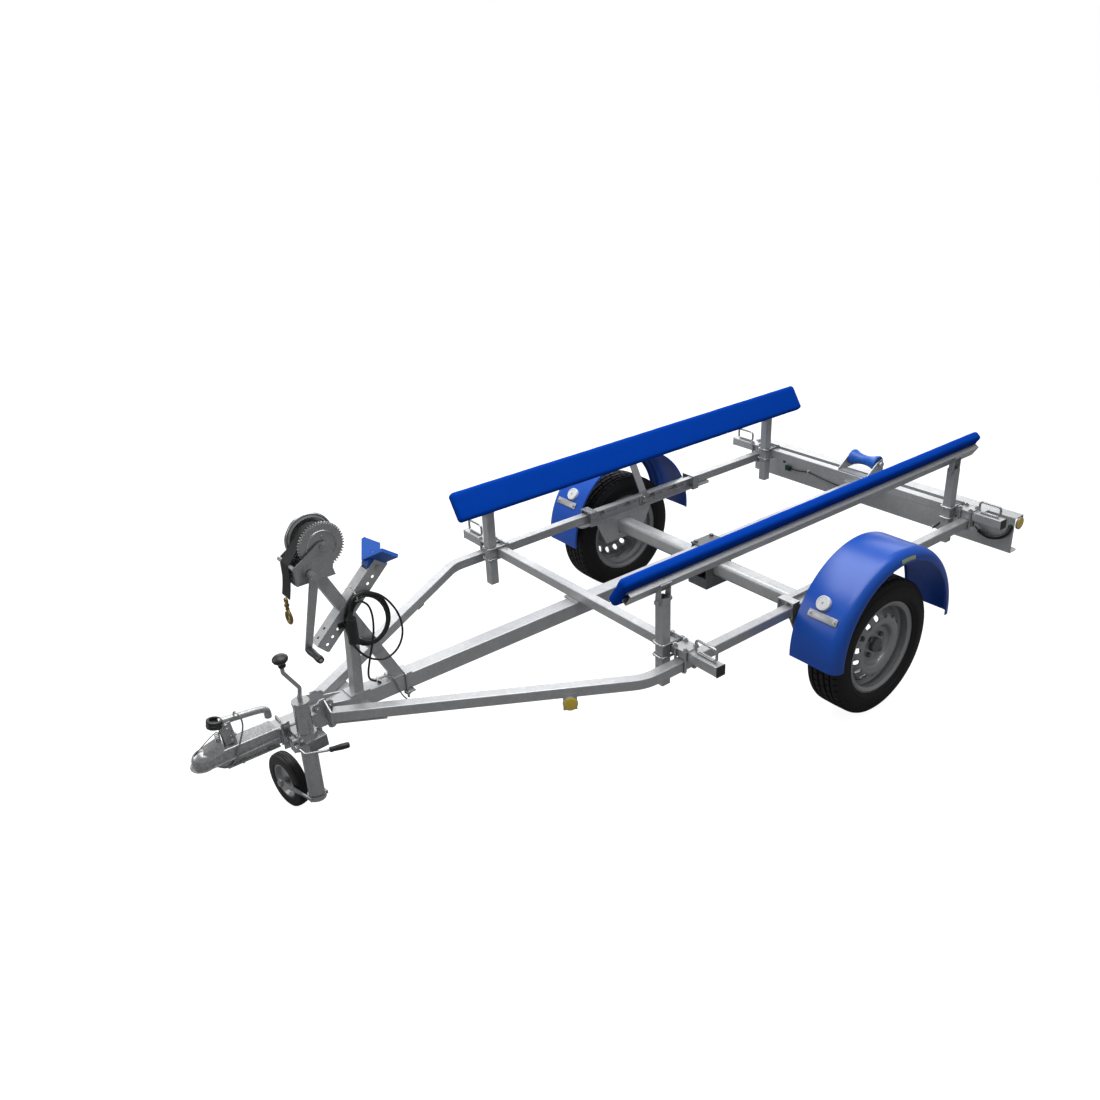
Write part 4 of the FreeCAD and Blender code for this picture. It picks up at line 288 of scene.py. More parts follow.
FINISHES: dict[str, Finish] = {
    # hot-dip galvanised tube: pale grey, soft crystals, a little wavy from the dip
    "galvanised": ZincFinish("hot_dip_galvanised_steel", "BEC0C2", "9EA0A2", 0.36, 0.55,
                             spangle_mm=11.0, grain_mm=7.0, grain_depth_mm=0.12),
    # bright zinc plate: cleaner and shinier than the dipped tubes, fine brushed grain
    "zinc": ZincFinish("bright_zinc_plate", "BCBDBE", "96979A", 0.26, 0.8, spangle_mm=4.0,
                       spangle_share=0.2, patch_mm=25.0, grain_mm=1.5, grain_depth_mm=0.04),
    # zinc on cast and sawn clamp parts: duller, unevenly grey
    "dark_zinc": ZincFinish("dull_zinc_on_castings", "8C8D8F", "6C6D6F", 0.38, 0.6,
                            spangle_mm=5.0, spangle_share=0.4, patch_mm=20.0, grain_mm=2.5,
                            grain_depth_mm=0.12),
    # mill-scaled, oiled steel of the axle saddle and arms: dark and mottled
    "dark_steel": ZincFinish("dark_dipped_steel", "5C5E60", "6E7173", 0.42, 0.6,
                             spangle_mm=9.0, patch_mm=30.0, grain_mm=3.0, grain_depth_mm=0.12),
    # pressed coupling: passivated zinc, mottled
    "coupling": ZincFinish("passivated_zinc_pressing", "BCBDBE", "808183", 0.28, 0.65,
                           spangle_mm=6.0, spangle_share=0.55, patch_mm=30.0, grain_mm=3.0,
                           grain_depth_mm=0.2),
    # silver wheel paint: fine flake under lacquer
    "wheel": Finish("silver_wheel_enamel", "A2A4A6", "8C8E90", 0.32, 0.4, coat=0.3,
                    patch_mm=90.0, grain_mm=0.8, grain_depth_mm=0.02),
    # tyre rubber: matt black with a faint grey bloom
    "tyre": Finish("carbon_black_tyre_rubber", "131314", "1B1B1C", 0.62, patch_mm=45.0,
                   grain_mm=1.2, grain_depth_mm=0.12, specular=0.3),
    # solid jockey tyre: denser and a shade shinier
    "solid_rubber": Finish("solid_black_rubber", "121213", "1A1A1B", 0.5, patch_mm=25.0,
                           grain_mm=1.0, grain_depth_mm=0.08, specular=0.4),
    # pressed polypropylene mudguard: even mid blue with a broad soft gloss
    "guard_blue": Finish("blue_moulded_polypropylene", "0049AC", "0045A4", 0.33, coat=0.03,
                         patch_mm=120.0, grain_mm=1.5, grain_depth_mm=0.03),
    # polyurethane roller and bow block: brighter, waxy blue
    "roller_blue": Finish("blue_cast_polyurethane", "0853B0", "064CA4", 0.38, patch_mm=30.0,
                          grain_mm=1.0, grain_depth_mm=0.04),
    # carpet over the bunk boards: royal blue, light only on the tips of the nap
    "carpet": CarpetFinish("royal_blue_needle_carpet", "003390", "003CA0", 0.95, sheen=0.1,
                           grain_depth_mm=0.6, specular=0.05),
    # satin black mouldings: grips, caps, plug
    "black": Finish("black_moulded_nylon", "19191B", "222325", 0.42, patch_mm=20.0,
                    grain_mm=0.7, grain_depth_mm=0.03, specular=0.45),
    # cable sheath: smooth, slightly greasy vinyl
    "sheath": Finish("black_vinyl_cable_sheath", "151617", "1D1E20", 0.38, patch_mm=18.0,
                     grain_mm=0.9, grain_depth_mm=0.02),
    # black polyester strap
    "webbing": WovenFinish("black_polyester_webbing", "101011", "222224", 0.8, sheen=0.04,
                           grain_depth_mm=0.5),
    # brassy passivate of the snap hook
    "brass": ZincFinish("yellow_passivated_steel", "9C8850", "6F6038", 0.3, 0.8,
                        spangle_mm=3.0, patch_mm=12.0, grain_mm=1.0, grain_depth_mm=0.03),
    # bare laid wire rope and solid earth wire
    "rope": WireRopeFinish("galvanised_wire_rope", "B9BABB", "6C6E70", 0.35, 0.7,
                           grain_depth_mm=0.5),
    # nylon of the cable joint, a deep bottle green
    "green_nylon": Finish("bottle_green_nylon", "123328", "0E261F", 0.4, patch_mm=12.0,
                          grain_mm=0.8, grain_depth_mm=0.03),
    # lamp and reflector lenses
    "red_lens": LensFinish("red_acrylic_lens", "8E1014", "B3181C", 0.14, coat=0.6,
                           grain_depth_mm=0.6),
    "amber_lens": LensFinish("amber_acrylic_reflector", "D0B02C", "DEC448", 0.2, coat=0.4,
                             grain_depth_mm=0.5),
    "white_lens": LensFinish("clear_acrylic_reflector", "C6C8C9", "D8DADB", 0.2, coat=0.4,
                             grain_depth_mm=0.5),
    # blank film under clear laminate on the guards' shoulders
    "film": Finish("blank_pale_film", "8F9E70", "9CA880", 0.35, coat=0.2, patch_mm=50.0,
                   grain_mm=1.0, grain_depth_mm=0.01),
    # nylon cable ties
    "tie": Finish("natural_nylon_tie", "D6D6D2", "C6C6C2", 0.4, patch_mm=8.0),
}

NODES_BY_FINISH: dict[str, str] = {
    "galvanised": "side_rails drawbar_tube nose_gusset cross_tubes bunk_posts clamp_plates "
                  "rear_beam side_reflectors roller_bracket bunk_channel_left "
                  "bunk_channel_right axle_beam axle_hangers mudguard_struts winch_post "
                  "bow_stop_channel",
    "zinc": "tie_loops clamp_rods hanger_clamps coupling_handle jack_bracket clamp_lever "
            "jack_outer_tube jack_crank jack_leg winch_frame winch_drum winch_crank",
    "black": "tube_caps tail_lamps coupling_grip jack_knob crank_grip plug_holder plug",
    "dark_steel": "hub_left hub_right axle_saddle swing_arms",
    "wheel": "rim_left rim_right jockey_rim",
    "roller_blue": "keel_roller bow_block",
    "carpet": "bunk_pad_left bunk_pad_right",
    "tyre": "tyre_left tyre_right",
    "sheath": "cable_coil cable_run",
    "guard_blue": "mudguards",
    "coupling": "coupling_body",
    "solid_rubber": "jockey_tyre",
    "webbing": "winch_strap",
    "brass": "strap_hook",
}


# ---- stance and bench -------------------------------------------------------------------------
@dataclass
class Stance:
    """Carries points from the chassis frame, in millimetres, to the row frame, in metres."""

    joints: Sequence[dict]
    matrix: Matrix = field(init=False)

    def __post_init__(self) -> None:
        """Reads the wheel axis and the jack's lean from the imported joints."""
        by_name = {joint["name"]: joint for joint in self.joints}
        axle = Vector(by_name["wheel_left_spin"]["pos_m"])
        up = Vector(by_name["jack_slide"]["axis"])
        up = up if up.z > 0 else -up
        self.matrix = (Matrix.Translation((axle.x, 0.0, axle.z))
                       @ Matrix.Rotation(math.atan2(up.x, up.z), 4, "Y")
                       @ Matrix.Scale(0.001, 4))

    def point(self, place: Point) -> Vector:
        """Row-frame place of a chassis point."""
        return self.matrix @ Vector(place)

    def way(self, direction: Point) -> Vector:
        """Row-frame unit vector of a chassis direction."""
        return (self.matrix.to_3x3() @ Vector(direction)).normalized()


def baked(line: bpy.types.Object) -> bpy.types.Mesh:
    """Turns a curve object into a mesh and takes the object away."""
    bpy.context.scene.collection.objects.link(line)
    bpy.context.view_layer.update()
    seen = line.evaluated_get(bpy.context.evaluated_depsgraph_get())
    mesh = bpy.data.meshes.new_from_object(seen)
    bpy.data.objects.remove(line)
    return mesh


def shaded(name: str, mesh: bpy.types.Mesh, detail: Detail) -> bpy.types.Object:
    """Makes an object of a mesh, smooth but for its sharp edges."""
    mesh.name = name
    mesh.shade_smooth()
    mesh.set_sharp_from_angle(angle=math.radians(detail.value))
    return bpy.data.objects.new(name, mesh)


@dataclass
class Bench:
    """Turns chassis-frame meshes and lines into finished, dressed pieces of the scene."""

    stance: Stance
    materials: dict[str, bpy.types.Material]

    def dress(self, made: bpy.types.Object, finish: str, replaces: Sequence[str],
              body: str = "chassis") -> bpy.types.Object:
        """Links an object, gives it its finish and ties it to its body.

        Args:
            made: The object, at the origin, with its place in its data.
            finish: Key of its finish.
            replaces: CAD nodes that it stands for.
            body: The CAD body that it moves with.

        Returns:
            The same object.
        """
        bpy.context.scene.collection.objects.link(made)
        made.data.materials.clear()
        made.data.materials.append(self.materials[finish])
        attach(made, body)
        if replaces:
            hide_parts(*replaces)
        LOG.info("%s: %s on %s", made.name, finish, body)
        return made

    def piece(self, form: Form, name: str, finish: str,
              replaces: Sequence[str] = (), body: str = "chassis",
              detail: Detail = Detail.MACHINED) -> bpy.types.Object:
        """Makes one dressed object of a chassis-frame mesh.

        Args:
            form: The mesh, in millimetres; it is freed.
            name: The piece's name.
            finish: Key of its finish.
            replaces: CAD nodes that it stands for.
            body: The CAD body that it moves with.
            detail: How its edges are shaded.

        Returns:
            The object.
        """
        bmesh.ops.remove_doubles(form, verts=form.verts, dist=0.01)
        bmesh.ops.recalc_face_normals(form, faces=form.faces)
        bmesh.ops.transform(form, matrix=self.stance.matrix, verts=form.verts)
        mesh = bpy.data.meshes.new(name)
        form.to_mesh(mesh)
        form.free()
        return self.dress(shaded(name, mesh, detail), finish, replaces, body)

    def line(self, name: str, points: Iterable[Point], radius: float,
             sides: int = 3) -> bpy.types.Object:
        """Makes a round NURBS line along chassis points, not yet dressed.

        Args:
            name: The object's name.
            points: Control points, in millimetres.
            radius: Half the line's thickness, in millimetres.
            sides: Resolution of the round section.

        Returns:
            The curve object, unlinked.
        """
        curve = bpy.data.curves.new(name, "CURVE")
        curve.dimensions = "3D"
        curve.resolution_u = curve.render_resolution_u = 8
        curve.bevel_depth, curve.bevel_resolution = radius / 1000, sides
        curve.use_fill_caps = True
        places = [self.stance.point(p) for p in points]
        spline = curve.splines.new("NURBS")
        spline.points.add(len(places) - 1)
        for spot, place in zip(spline.points, places):
            spot.co = (*place, 1.0)
        spline.order_u = 3
        spline.use_endpoint_u = True
        return bpy.data.objects.new(name, curve)

    def wire(self, name: str, points: Iterable[Point], radius: float, finish: str,
             sides: int = 3, replaces: Sequence[str] = ()) -> None:
        """Makes a stiff wire, rod or tie of the chassis as a mesh along a NURBS line."""
        mesh = baked(self.line(name + "_line", points, radius, sides))
        self.dress(shaded(name, mesh, Detail.SOFT), finish, replaces)


# ---- shaping helpers --------------------------------------------------------------------------
def lathe(form: Form, profile: Sequence[Flat], centre: Point, steps: int) -> None:
    """Spins a closed profile about a line along Y.

    Args:
        form: The mesh that takes the shape.
        profile: (radius, offset along Y) corners, in order.
        centre: A point on the axis; the offsets count from its Y.
        steps: Facets round the axis.
    """
    x, y, z = centre
    ring = [form.verts.new((x + radius, y + along, z)) for radius, along in profile]
    edges = [form.edges.new((a, b)) for a, b in zip(ring, ring[1:] + ring[:1])]
    bmesh.ops.spin(form, geom=ring + edges, cent=centre, axis=LEFT, angle=2 * math.pi,
                   steps=steps, use_merge=True)


def seated(place: Point, way: Point, along: Point = LEFT) -> Matrix:
    """Frame of a seat: Z out of the surface, X as near as it can be to a direction.

    Args:
        place: The seat's middle.
        way: Direction out of the surface.
        along: Direction that X follows.

    Returns:
        The frame's matrix, in chassis millimetres.
    """
    out = Vector(way).normalized()
    side = Vector(along).normalized()
    if abs(side.dot(out)) > 0.99:
        side = Vector(AHEAD)
    side = (side - out * side.dot(out)).normalized()
    return Matrix.Translation(place) @ Matrix((side, out.cross(side), out)).transposed().to_4x4()


def fresh(form: Form, old: set) -> list[bmesh.types.BMVert]:
    """Points that a mesh has now and lacked when its points were kept in a set."""
    return [vert for vert in form.verts if vert not in old]


def turned(form: Form, profile: Sequence[Flat], seat: Matrix, steps: int = 40) -> None:
    """Spins an open (radius, height) profile about the Z of a seat.

    Args:
        form: The mesh that takes the shape.
        profile: Corners from the seat outward; a radius of zero closes the end.
        seat: The seat's frame.
        steps: Facets round the axis.
    """
    old = set(form.verts)
    line = [form.verts.new((radius, 0.0, height)) for radius, height in profile]
    edges = [form.edges.new(pair) for pair in zip(line, line[1:])]
    bmesh.ops.spin(form, geom=line + edges, cent=(0, 0, 0), axis=UP, angle=2 * math.pi,
                   steps=steps, use_merge=True)
    bmesh.ops.remove_doubles(form, verts=fresh(form, old), dist=0.005)
    bmesh.ops.transform(form, matrix=seat, verts=fresh(form, old))


def block(form: Form, low: Point, high: Point, bevel: float, segments: int = 2) -> None:
    """Adds a box between two corners with rounded edges.

    Args:
        form: The mesh that takes the shape.
        low: Lowest corner.
        high: Highest corner.
        bevel: Edge radius.
        segments: Facets across each rounded edge.
    """
    made = bmesh.ops.create_cube(form, size=1.0)["verts"]
    bmesh.ops.scale(form, vec=[b - a for a, b in zip(low, high)], verts=made)
    bmesh.ops.translate(form, vec=[(a + b) / 2 for a, b in zip(low, high)], verts=made)
    edges = list({edge for vert in made for edge in vert.link_edges})
    bmesh.ops.bevel(form, geom=edges, offset=bevel, affect="EDGES", segments=segments,
                    profile=0.5, material=-1)


def bar(form: Form, seat: Matrix, size: Point, bevel: float = 0.8) -> None:
    """Lays a flat bar on a seat.

    Args:
        form: The mesh that takes the bar.
        seat: The seat's frame.
        size: Length along the seat's X, width along its Y, and thickness above it.
        bevel: Edge radius.
    """
    old = set(form.verts)
    length, width, height = size
    block(form, (-length / 2, -width / 2, 0.0), (length / 2, width / 2, height), bevel)
    bmesh.ops.transform(form, matrix=seat, verts=fresh(form, old))


def bolt_head(form: Form, place: Point, way: Point, across: float, height: float,
              shank: float = 0.0) -> None:
    """Adds a chamfered hexagon on a washer, with a threaded end above it where one shows.

    Args:
        form: The mesh that takes the bolt.
        place: Middle of the washer's underside.
        way: Direction out of the surface.
        across: Width across the flats.
        height: Height of the hexagon.
        shank: Length of bolt end that stands above it.
    """
    washer, pitch = 1.8, 1.6
    spot = (Matrix.Translation(place)
            @ Vector(UP).rotation_difference(Vector(way)).to_matrix().to_4x4())

    def cone(sides: int, foot: float, head: float, start: float, depth: float) -> list:
        """Adds one cone of the stack and returns its points."""
        return bmesh.ops.create_cone(
            form, cap_ends=True, segments=sides, radius1=foot, radius2=head, depth=depth,
            matrix=spot @ Matrix.Translation((0, 0, start + depth / 2)))["verts"]

    cone(20, across * 0.98, across * 0.93, 0.0, washer)
    hexagon = cone(6, across / math.sqrt(3), across / math.sqrt(3), washer, height)
    top, inside = washer + height, spot.inverted()
    rim = [edge for edge in {e for v in hexagon for e in v.link_edges}
           if all((inside @ v.co).z > top - 0.1 for v in edge.verts)]
    bmesh.ops.bevel(form, geom=rim, offset=across * 0.07, affect="EDGES", segments=1,
                    profile=0.5, material=-1)
    turns = max(2, int(shank / pitch)) if shank else 0
    for k in range(turns):
        cone(14, across * 0.29, across * 0.29 * 0.86, top + shank * k / turns, shank / turns)


# ---- sub-assemblies ---------------------------------------------------------------------------
class SubAssembly:
    """Pieces that the scene adds to the CAD model, or puts in the place of its nodes."""

    def build(self, bench: Bench) -> None:
        """Makes the pieces.

        Args:
            bench: Where they are made.
        """
        raise NotImplementedError


@dataclass
class Sided(SubAssembly):
    """Pieces that stand on both halves of the trailer, made for one of them."""

    side: Side

    @property
    def sign(self) -> int:
        """One on the left, minus one on the right."""
        return self.side.value

    @property
    def name(self) -> str:
        """The side's name as it is in names of pieces."""
        return self.side.name.lower()


@dataclass
class LightCable(SubAssembly):
    """The black cable of the lights: out of the drawbar, round its hung coil, to the plug."""

    radius: float = 3.75
    turns: int = 3
    rise: tuple[Point, ...] = (
        (1748, 12, 207), (1766, 17, 223), (1786, 24, 238), (1800, 36, 260), (1803, 45, 290),
        (1797, 51, 326), (1786, 53, 366), (1773, 54, 408), (1764, 53, 452), (1762, 51, 500),
        (1770, 47, 538))
    # one turn of the hung bundle as (x, z), from its top over to the front and down
    loop: tuple[Flat, ...] = (
        (1799, 569), (1824, 550), (1841, 516), (1845, 470), (1833, 422), (1800, 386),
        (1752, 378), (1710, 403), (1691, 452), (1699, 504), (1727, 548), (1768, 571))
    hub: Flat = (1768.0, 475.0)
    # where each pass lies in the bundle: its Y, and how far outside the loop it is
    lanes: tuple[Flat, ...] = ((35.0, -13.2), (30.5, -7.0), (28.3, 0.4), (27.3, 8.0))
    loose: tuple[Point, ...] = (
        (1802, 27.3, 577), (1830, 27.3, 555), (1848, 27.3, 519), (1853, 27.5, 470),
        (1841, 28, 417), (1818, 34, 366), (1782, 41, 327), (1732, 48, 311), (1686, 53, 334),
        (1660, 54, 384), (1661, 53, 446), (1684, 51, 506), (1722, 47, 558), (1764, 45, 580))
    lead: tuple[Point, ...] = (
        (1790, 45, 586), (1815, 49, 585), (1834, 55, 572), (1842, 57, 553), (1842, 57, 536.1))

    def bundle(self) -> list[tuple[float, float, float]]:
        """Control points of the tight turns, each pass a lane outside the one before."""
        points = []
        for turn in range(self.turns):
            (y0, out0), (y1, out1) = self.lanes[turn:turn + 2]
            for k, spot in enumerate(self.loop):
                share = k / len(self.loop)
                away = ((Vector(spot) - Vector(self.hub)).normalized()
                        * (out0 + (out1 - out0) * share))
                points.append((spot[0] + away.x, y0 + (y1 - y0) * share, spot[1] + away.y))
        return points

    def build(self, bench: Bench) -> None:
        points = [*self.rise, *self.bundle(), *self.loose, *self.lead]
        cord = bench.line("light_cable", points, self.radius, 4)
        bench.dress(cord, "sheath", ("cable_run", "cable_coil"))
        bare = cord.copy()
        bare.data = cord.data.copy()
        bare.data.bevel_depth = 0.0
        mesh = baked(bare)
        bpy.data.meshes.remove(mesh)
        tuple(bench.stance.point(self.rise[0]))


@dataclass
class RoadTyre(Sided):
    """A radial road tyre: grooved and siped tread, rounded shoulders and ringed walls."""

    track: float = 751.0
    radius: float = 285.0
    half_width: float = 82.5
    half_tread: float = 63.0
    bead: float = 178.0
    flange: float = 193.0
    half_rim: float = 68.5
    steps: int = 336
    grooves: Flat = (14.0, 40.0)
    # half of a groove's section: depth, and distance from its middle
    groove: tuple[Flat, ...] = ((0.0, 5.0), (0.8, 4.0), (7.0, 2.8))
    sipe_depth: float = 4.0

    def half_profile(self) -> list[Flat]:
        """Section from the middle of the tread out and down to the bead, at positive Y."""
        r, w, t, rim, flange = (self.radius, self.half_width, self.half_tread, self.half_rim,
                                self.flange)
        belly = (r + self.bead) / 2 - 4
        crown = [(r - 0.4 * (y / t) ** 2, y) for y in (0.0, 5.0)]
        for middle in self.grooves:
            lip = r - 1.5 * (middle / t) ** 2
            crown += [(lip - depth, middle - away) for depth, away in self.groove]
            crown += [(lip - depth, middle + away) for depth, away in reversed(self.groove)]
            crown.append((r - 1.5 * ((middle + 13) / t) ** 2, middle + 13))
        shoulder = [(r - 1.8, t - 3), (r - 4.0, t + 2.0), (r - 9, t + 6.2), (r - 14, t + 9),
                    (r - 20, t + 12), (r - 27, t + 14.5), (r - 28, w - 3.0), (r - 31, w - 3.0),
                    (r - 32, w - 2.6)]
        wall = [(belly + 6, w - 0.4), (belly, w), (belly - 8, w - 0.8), (belly - 12, w - 1.6),
                (belly - 13, w - 0.6), (belly - 15, w - 0.6), (belly - 16, w - 2.6),
                (flange + 6, rim + 6), (flange + 3, rim + 4), (flange + 0.5, rim - 1.5),
                (flange - 2, rim - 4.5), (self.bead + 5, rim - 5), (self.bead, rim - 10)]
        return crown + shoulder + wall

    def build(self, bench: Bench) -> None:
        """Makes the tyre and puts it in the place of its CAD solid."""
        half = self.half_profile()
        outer = [(r, -y) for r, y in reversed(half[1:])] + half
        inside = [(self.bead, self.half_rim - 24), (self.bead + 16, self.half_rim - 15),
                  (self.radius - 24, self.half_tread - 2)]
        lining = inside + [(self.radius - 13, 0.0)] + [(r, -y) for r, y in reversed(inside)]
        form = bmesh.new()
        centre = (0.0, self.sign * self.track, 0.0)
        lathe(form, outer + lining, centre, self.steps)
        self.cut_sipes(form, centre)
        bench.piece(form, f"road_tyre_{self.name}", "tyre", (f"tyre_{self.name}",),
                    f"wheel_{self.name}")

    def cut_sipes(self, form: Form, centre: Point) -> None:
        """Sinks cross cuts in the ribs and shoulders.

        Args:
            form: The spun tyre.
            centre: Its middle, in the chassis frame.
        """
        turn = 2 * math.pi / self.steps
        cuts = []
        for face in form.faces:
            spot = face.calc_center_median()
            rib, reach = abs(spot.y - centre[1]), math.hypot(spot.x, spot.z)
            step = int(math.atan2(spot.z, spot.x) / turn + self.steps)
            shoulder = 50 < rib < 70 and step % 6 == 0
            middle = (19 < rib < 35 and step % 6 == 3) or (rib < 9 and step % 12 == 6)
            if (shoulder or middle) and reach > self.radius - 11:
                cuts.append(face)
        for face in bmesh.ops.extrude_discrete_faces(form, faces=cuts)["faces"]:
            for vert in face.verts:
                away = math.hypot(vert.co.x, vert.co.z)
                vert.co.x *= (away - self.sipe_depth) / away
                vert.co.z *= (away - self.sipe_depth) / away


@dataclass
class BunkPad(Sided):
    """A carpeted, foam-faced board: rounded edges and folded ends."""

    top_y: float = 513.0
    top_z: float = 572.0
    tilt: float = 57.5
    width: float = 130.0
    thick: float = 45.0
    round_edge: float = 15.5
    rear_x: float = -1026.0
    front_x: float = 1087.0
    # how far the bare board stays inside its CAD solid, so that the swell has room
    skin: float = 1.2
    stations: int = 100
    # swell of the foam: height and length of its waves
    swell: Flat = (0.8, 55.0)
    # gathers of the folded ends: height, number round the board and reach from the end
    gather: Point = (1.3, 14.0, 26.0)
    # how far the ends are pulled in, and over what length
    tuck: Flat = (2.2, 14.0)

    def place(self, along: float, across: float, behind: float) -> Vector:
        """Chassis point of the pad at a station, across its face and behind it."""
        turn = math.radians(self.tilt)
        y = self.top_y - math.cos(turn) * across + math.sin(turn) * behind
        z = self.top_z - math.sin(turn) * across - math.cos(turn) * behind
        return Vector((along, y * self.sign, z))

    def pull_tight(self, form: Form) -> None:
        """Gives the cover the slight swell of foam and the gathers of its folded ends.

        Args:
            form: The rounded board, in its own frame: along, across, behind.
        """
        span = self.front_x - self.rear_x
        for k in range(1, self.stations):
            bmesh.ops.bisect_plane(form, geom=form.verts[:] + form.edges[:] + form.faces[:],
                                   plane_co=(self.rear_x + span * k / self.stations, 0, 0),
                                   plane_no=AHEAD, dist=0.05)
        faces = [face for face in form.faces if abs(face.normal.x) < 0.5]
        across = [edge for edge in {e for f in faces for e in f.edges}
                  if abs(edge.verts[0].co.x - edge.verts[1].co.x) < 0.2
                  and edge.calc_length() > 8]
        bmesh.ops.subdivide_edges(form, edges=across, cuts=6, use_grid_fill=True)
        bmesh.ops.recalc_face_normals(form, faces=form.faces)
        (swell, wave), (fold, folds, reach), (tuck, length) = self.swell, self.gather, self.tuck
        for vert in form.verts:
            out = Vector((0.0, vert.co.y - self.width / 2, vert.co.z - self.thick / 2))
            end = min(vert.co.x - self.rear_x, self.front_x - vert.co.x)
            lift = noise.noise(vert.co / wave) * swell
            lift += math.sin(math.atan2(out.z, out.y) * folds) * fold * math.exp(-end / reach)
            vert.co += out.normalized() * (lift - tuck * math.exp(-end / length))

    def build(self, bench: Bench) -> None:
        """Makes the padded cover in the place of the CAD pad."""
        form = bmesh.new()
        block(form, (self.rear_x + self.skin, self.skin, self.skin),
              (self.front_x - self.skin, self.width - self.skin, self.thick - self.skin),
              self.round_edge, 5)
        self.pull_tight(form)
        for vert in form.verts:
            vert.co = self.place(*vert.co)
        pad = bench.piece(form, f"bunk_cover_{self.name}", "carpet",
                          (f"bunk_pad_{self.name}",), f"bunk_{self.name}", Detail.SOFT)


@dataclass
class GuardTrim(Sided):
    """What is fixed to a mudguard: a round reflector above its bolted strap, and a blank film."""

    axis: Flat = (-23.0, 46.0)
    skin: float = 371.0
    shoulder_y: float = 826.0
    shoulder_r: float = 331.0
    # angle above level, and place across the guard
    reflector: Flat = (36.0, 737.0)
    strap: Flat = (28.4, 756.0)
    strap_bolts: Flat = (701.0, 811.0)
    lens: tuple[Flat, ...] = (
        (0.0, 11.0), (3.0, 11.0), (3.2, 12.0), (21.0, 12.0), (22.0, 11.2), (23.0, 12.6),
        (27.0, 12.6), (29.0, 10.5), (29.6, 6.0), (29.6, -3.0))
    # the film: angles round the shoulder's roll, its radius, and the arc round the wheel
    film_angles: Point = (4.0, 11.0, 18.0, 25.0)
    film_roll: float = 40.2
    film_arc: Flat = (-86.0, -14.5)

    def seat(self, angle: float, across: float, lift: float = 0.0) -> Matrix:
        """Seat on the outer skin at an angle above level and a place across the guard."""
        turn = math.radians(angle)
        out = Vector((math.cos(turn), 0.0, math.sin(turn)))
        spot = Vector((self.axis[0], across * self.sign, self.axis[1]))
        return seated(spot + out * (self.skin + lift), out)

    def bolt(self, form: Form, angle: float, across: float, lift: float, *size: float) -> None:
        """Fits one bolt head on the skin, or this far above it."""
        bolt_head(form, self.seat(angle, across, lift).translation,
                  self.seat(angle, across).col[2][:3], *size)

    def build(self, bench: Bench) -> None:
        """Makes the reflector, the strap with its bolts and the film."""
        lens = bmesh.new()
        turned(lens, self.lens, self.seat(*self.reflector), 56)
        bench.piece(lens, f"guard_reflector_{self.name}", "white_lens")
        strap = bmesh.new()
        bar(strap, self.seat(*self.strap, -0.4), (130.0, 29.0, 4.5))
        for across in self.strap_bolts:
            self.bolt(strap, self.strap[0], across, 4.0, 11.0, 5.0, 2.5)
        self.bolt(strap, *self.reflector, 10.6, 5.0, 2.0)
        bench.piece(strap, f"guard_strap_{self.name}", "galvanised")
        self.film(bench)

    def film(self, bench: Bench) -> None:
        """Lays a blank film on the rolled shoulder, above the wheel."""
        form = bmesh.new()
        ring = []
        for turn in map(math.radians, self.film_angles):
            ring.append(form.verts.new((
                self.shoulder_r + self.film_roll * math.sin(turn),
                (self.shoulder_y + self.film_roll * math.cos(turn)) * self.sign, 0.0)))
        edges = [form.edges.new(pair) for pair in zip(ring, ring[1:])]
        start, arc = map(math.radians, self.film_arc)
        bmesh.ops.spin(form, geom=ring + edges, cent=(0, 0, 0), axis=LEFT, angle=arc, steps=10)
        bmesh.ops.rotate(form, cent=(0, 0, 0), verts=form.verts,
                         matrix=Matrix.Rotation(start, 3, "Y"))
        bmesh.ops.translate(form, vec=(self.axis[0], 0.0, self.axis[1]), verts=form.verts)
        bmesh.ops.recalc_face_normals(form, faces=form.faces)
        bmesh.ops.solidify(form, geom=form.faces[:], thickness=0.3)
        bench.piece(form, f"guard_film_{self.name}", "film")


@dataclass
class Lenses(Sided):
    """Lamp and reflector lenses over the CAD bodies: three chambers a lamp, two discs."""

    lamp_y: float = 610.0
    lamp_x: Flat = (-1095.5, -1084.0)
    lamp_z: Flat = (82.5, 173.5)
    # each chamber's ends from the lamp's middle, and its lens
    chambers: tuple[tuple[float, float, str], ...] = (
        (-100.5, -35.0, "white_lens"), (-34.0, 36.0, "red_lens"), (37.0, 100.5, "amber_lens"))
    end_disc: Point = (-1070.0, 756.0, 180.0)
    end_scale: float = 1.1
    rail_disc: Point = (1295.7, 495.9, 158.0)
    rail_turn: float = 31.0
    dish: tuple[Flat, ...] = ((0.0, 2.6), (18.0, 2.4), (22.5, 1.6), (24.5, 0.6), (24.8, -1.5))

    def build(self, bench: Bench) -> None:
        """Makes the lenses of one side."""
        sign = self.sign
        for k, (start, stop, finish) in enumerate(self.chambers):
            form = bmesh.new()
            ends = sorted((sign * (self.lamp_y + start), sign * (self.lamp_y + stop)))
            block(form, *zip(self.lamp_x, ends, self.lamp_z), 3.0)
            bench.piece(form, f"lamp_lens_{self.name}_{k}", finish)
        turn = math.radians(self.rail_turn)
        form = bmesh.new()
        for (x, y, z), way, scale in (
                (self.end_disc, (0, sign, 0), self.end_scale),
                (self.rail_disc, (math.sin(turn), sign * math.cos(turn), 0), 1.0)):
            turned(form, [(r * scale, h) for r, h in self.dish], seated((x, sign * y, z), way),
                   48)
        bench.piece(form, f"side_lenses_{self.name}", "amber_lens")


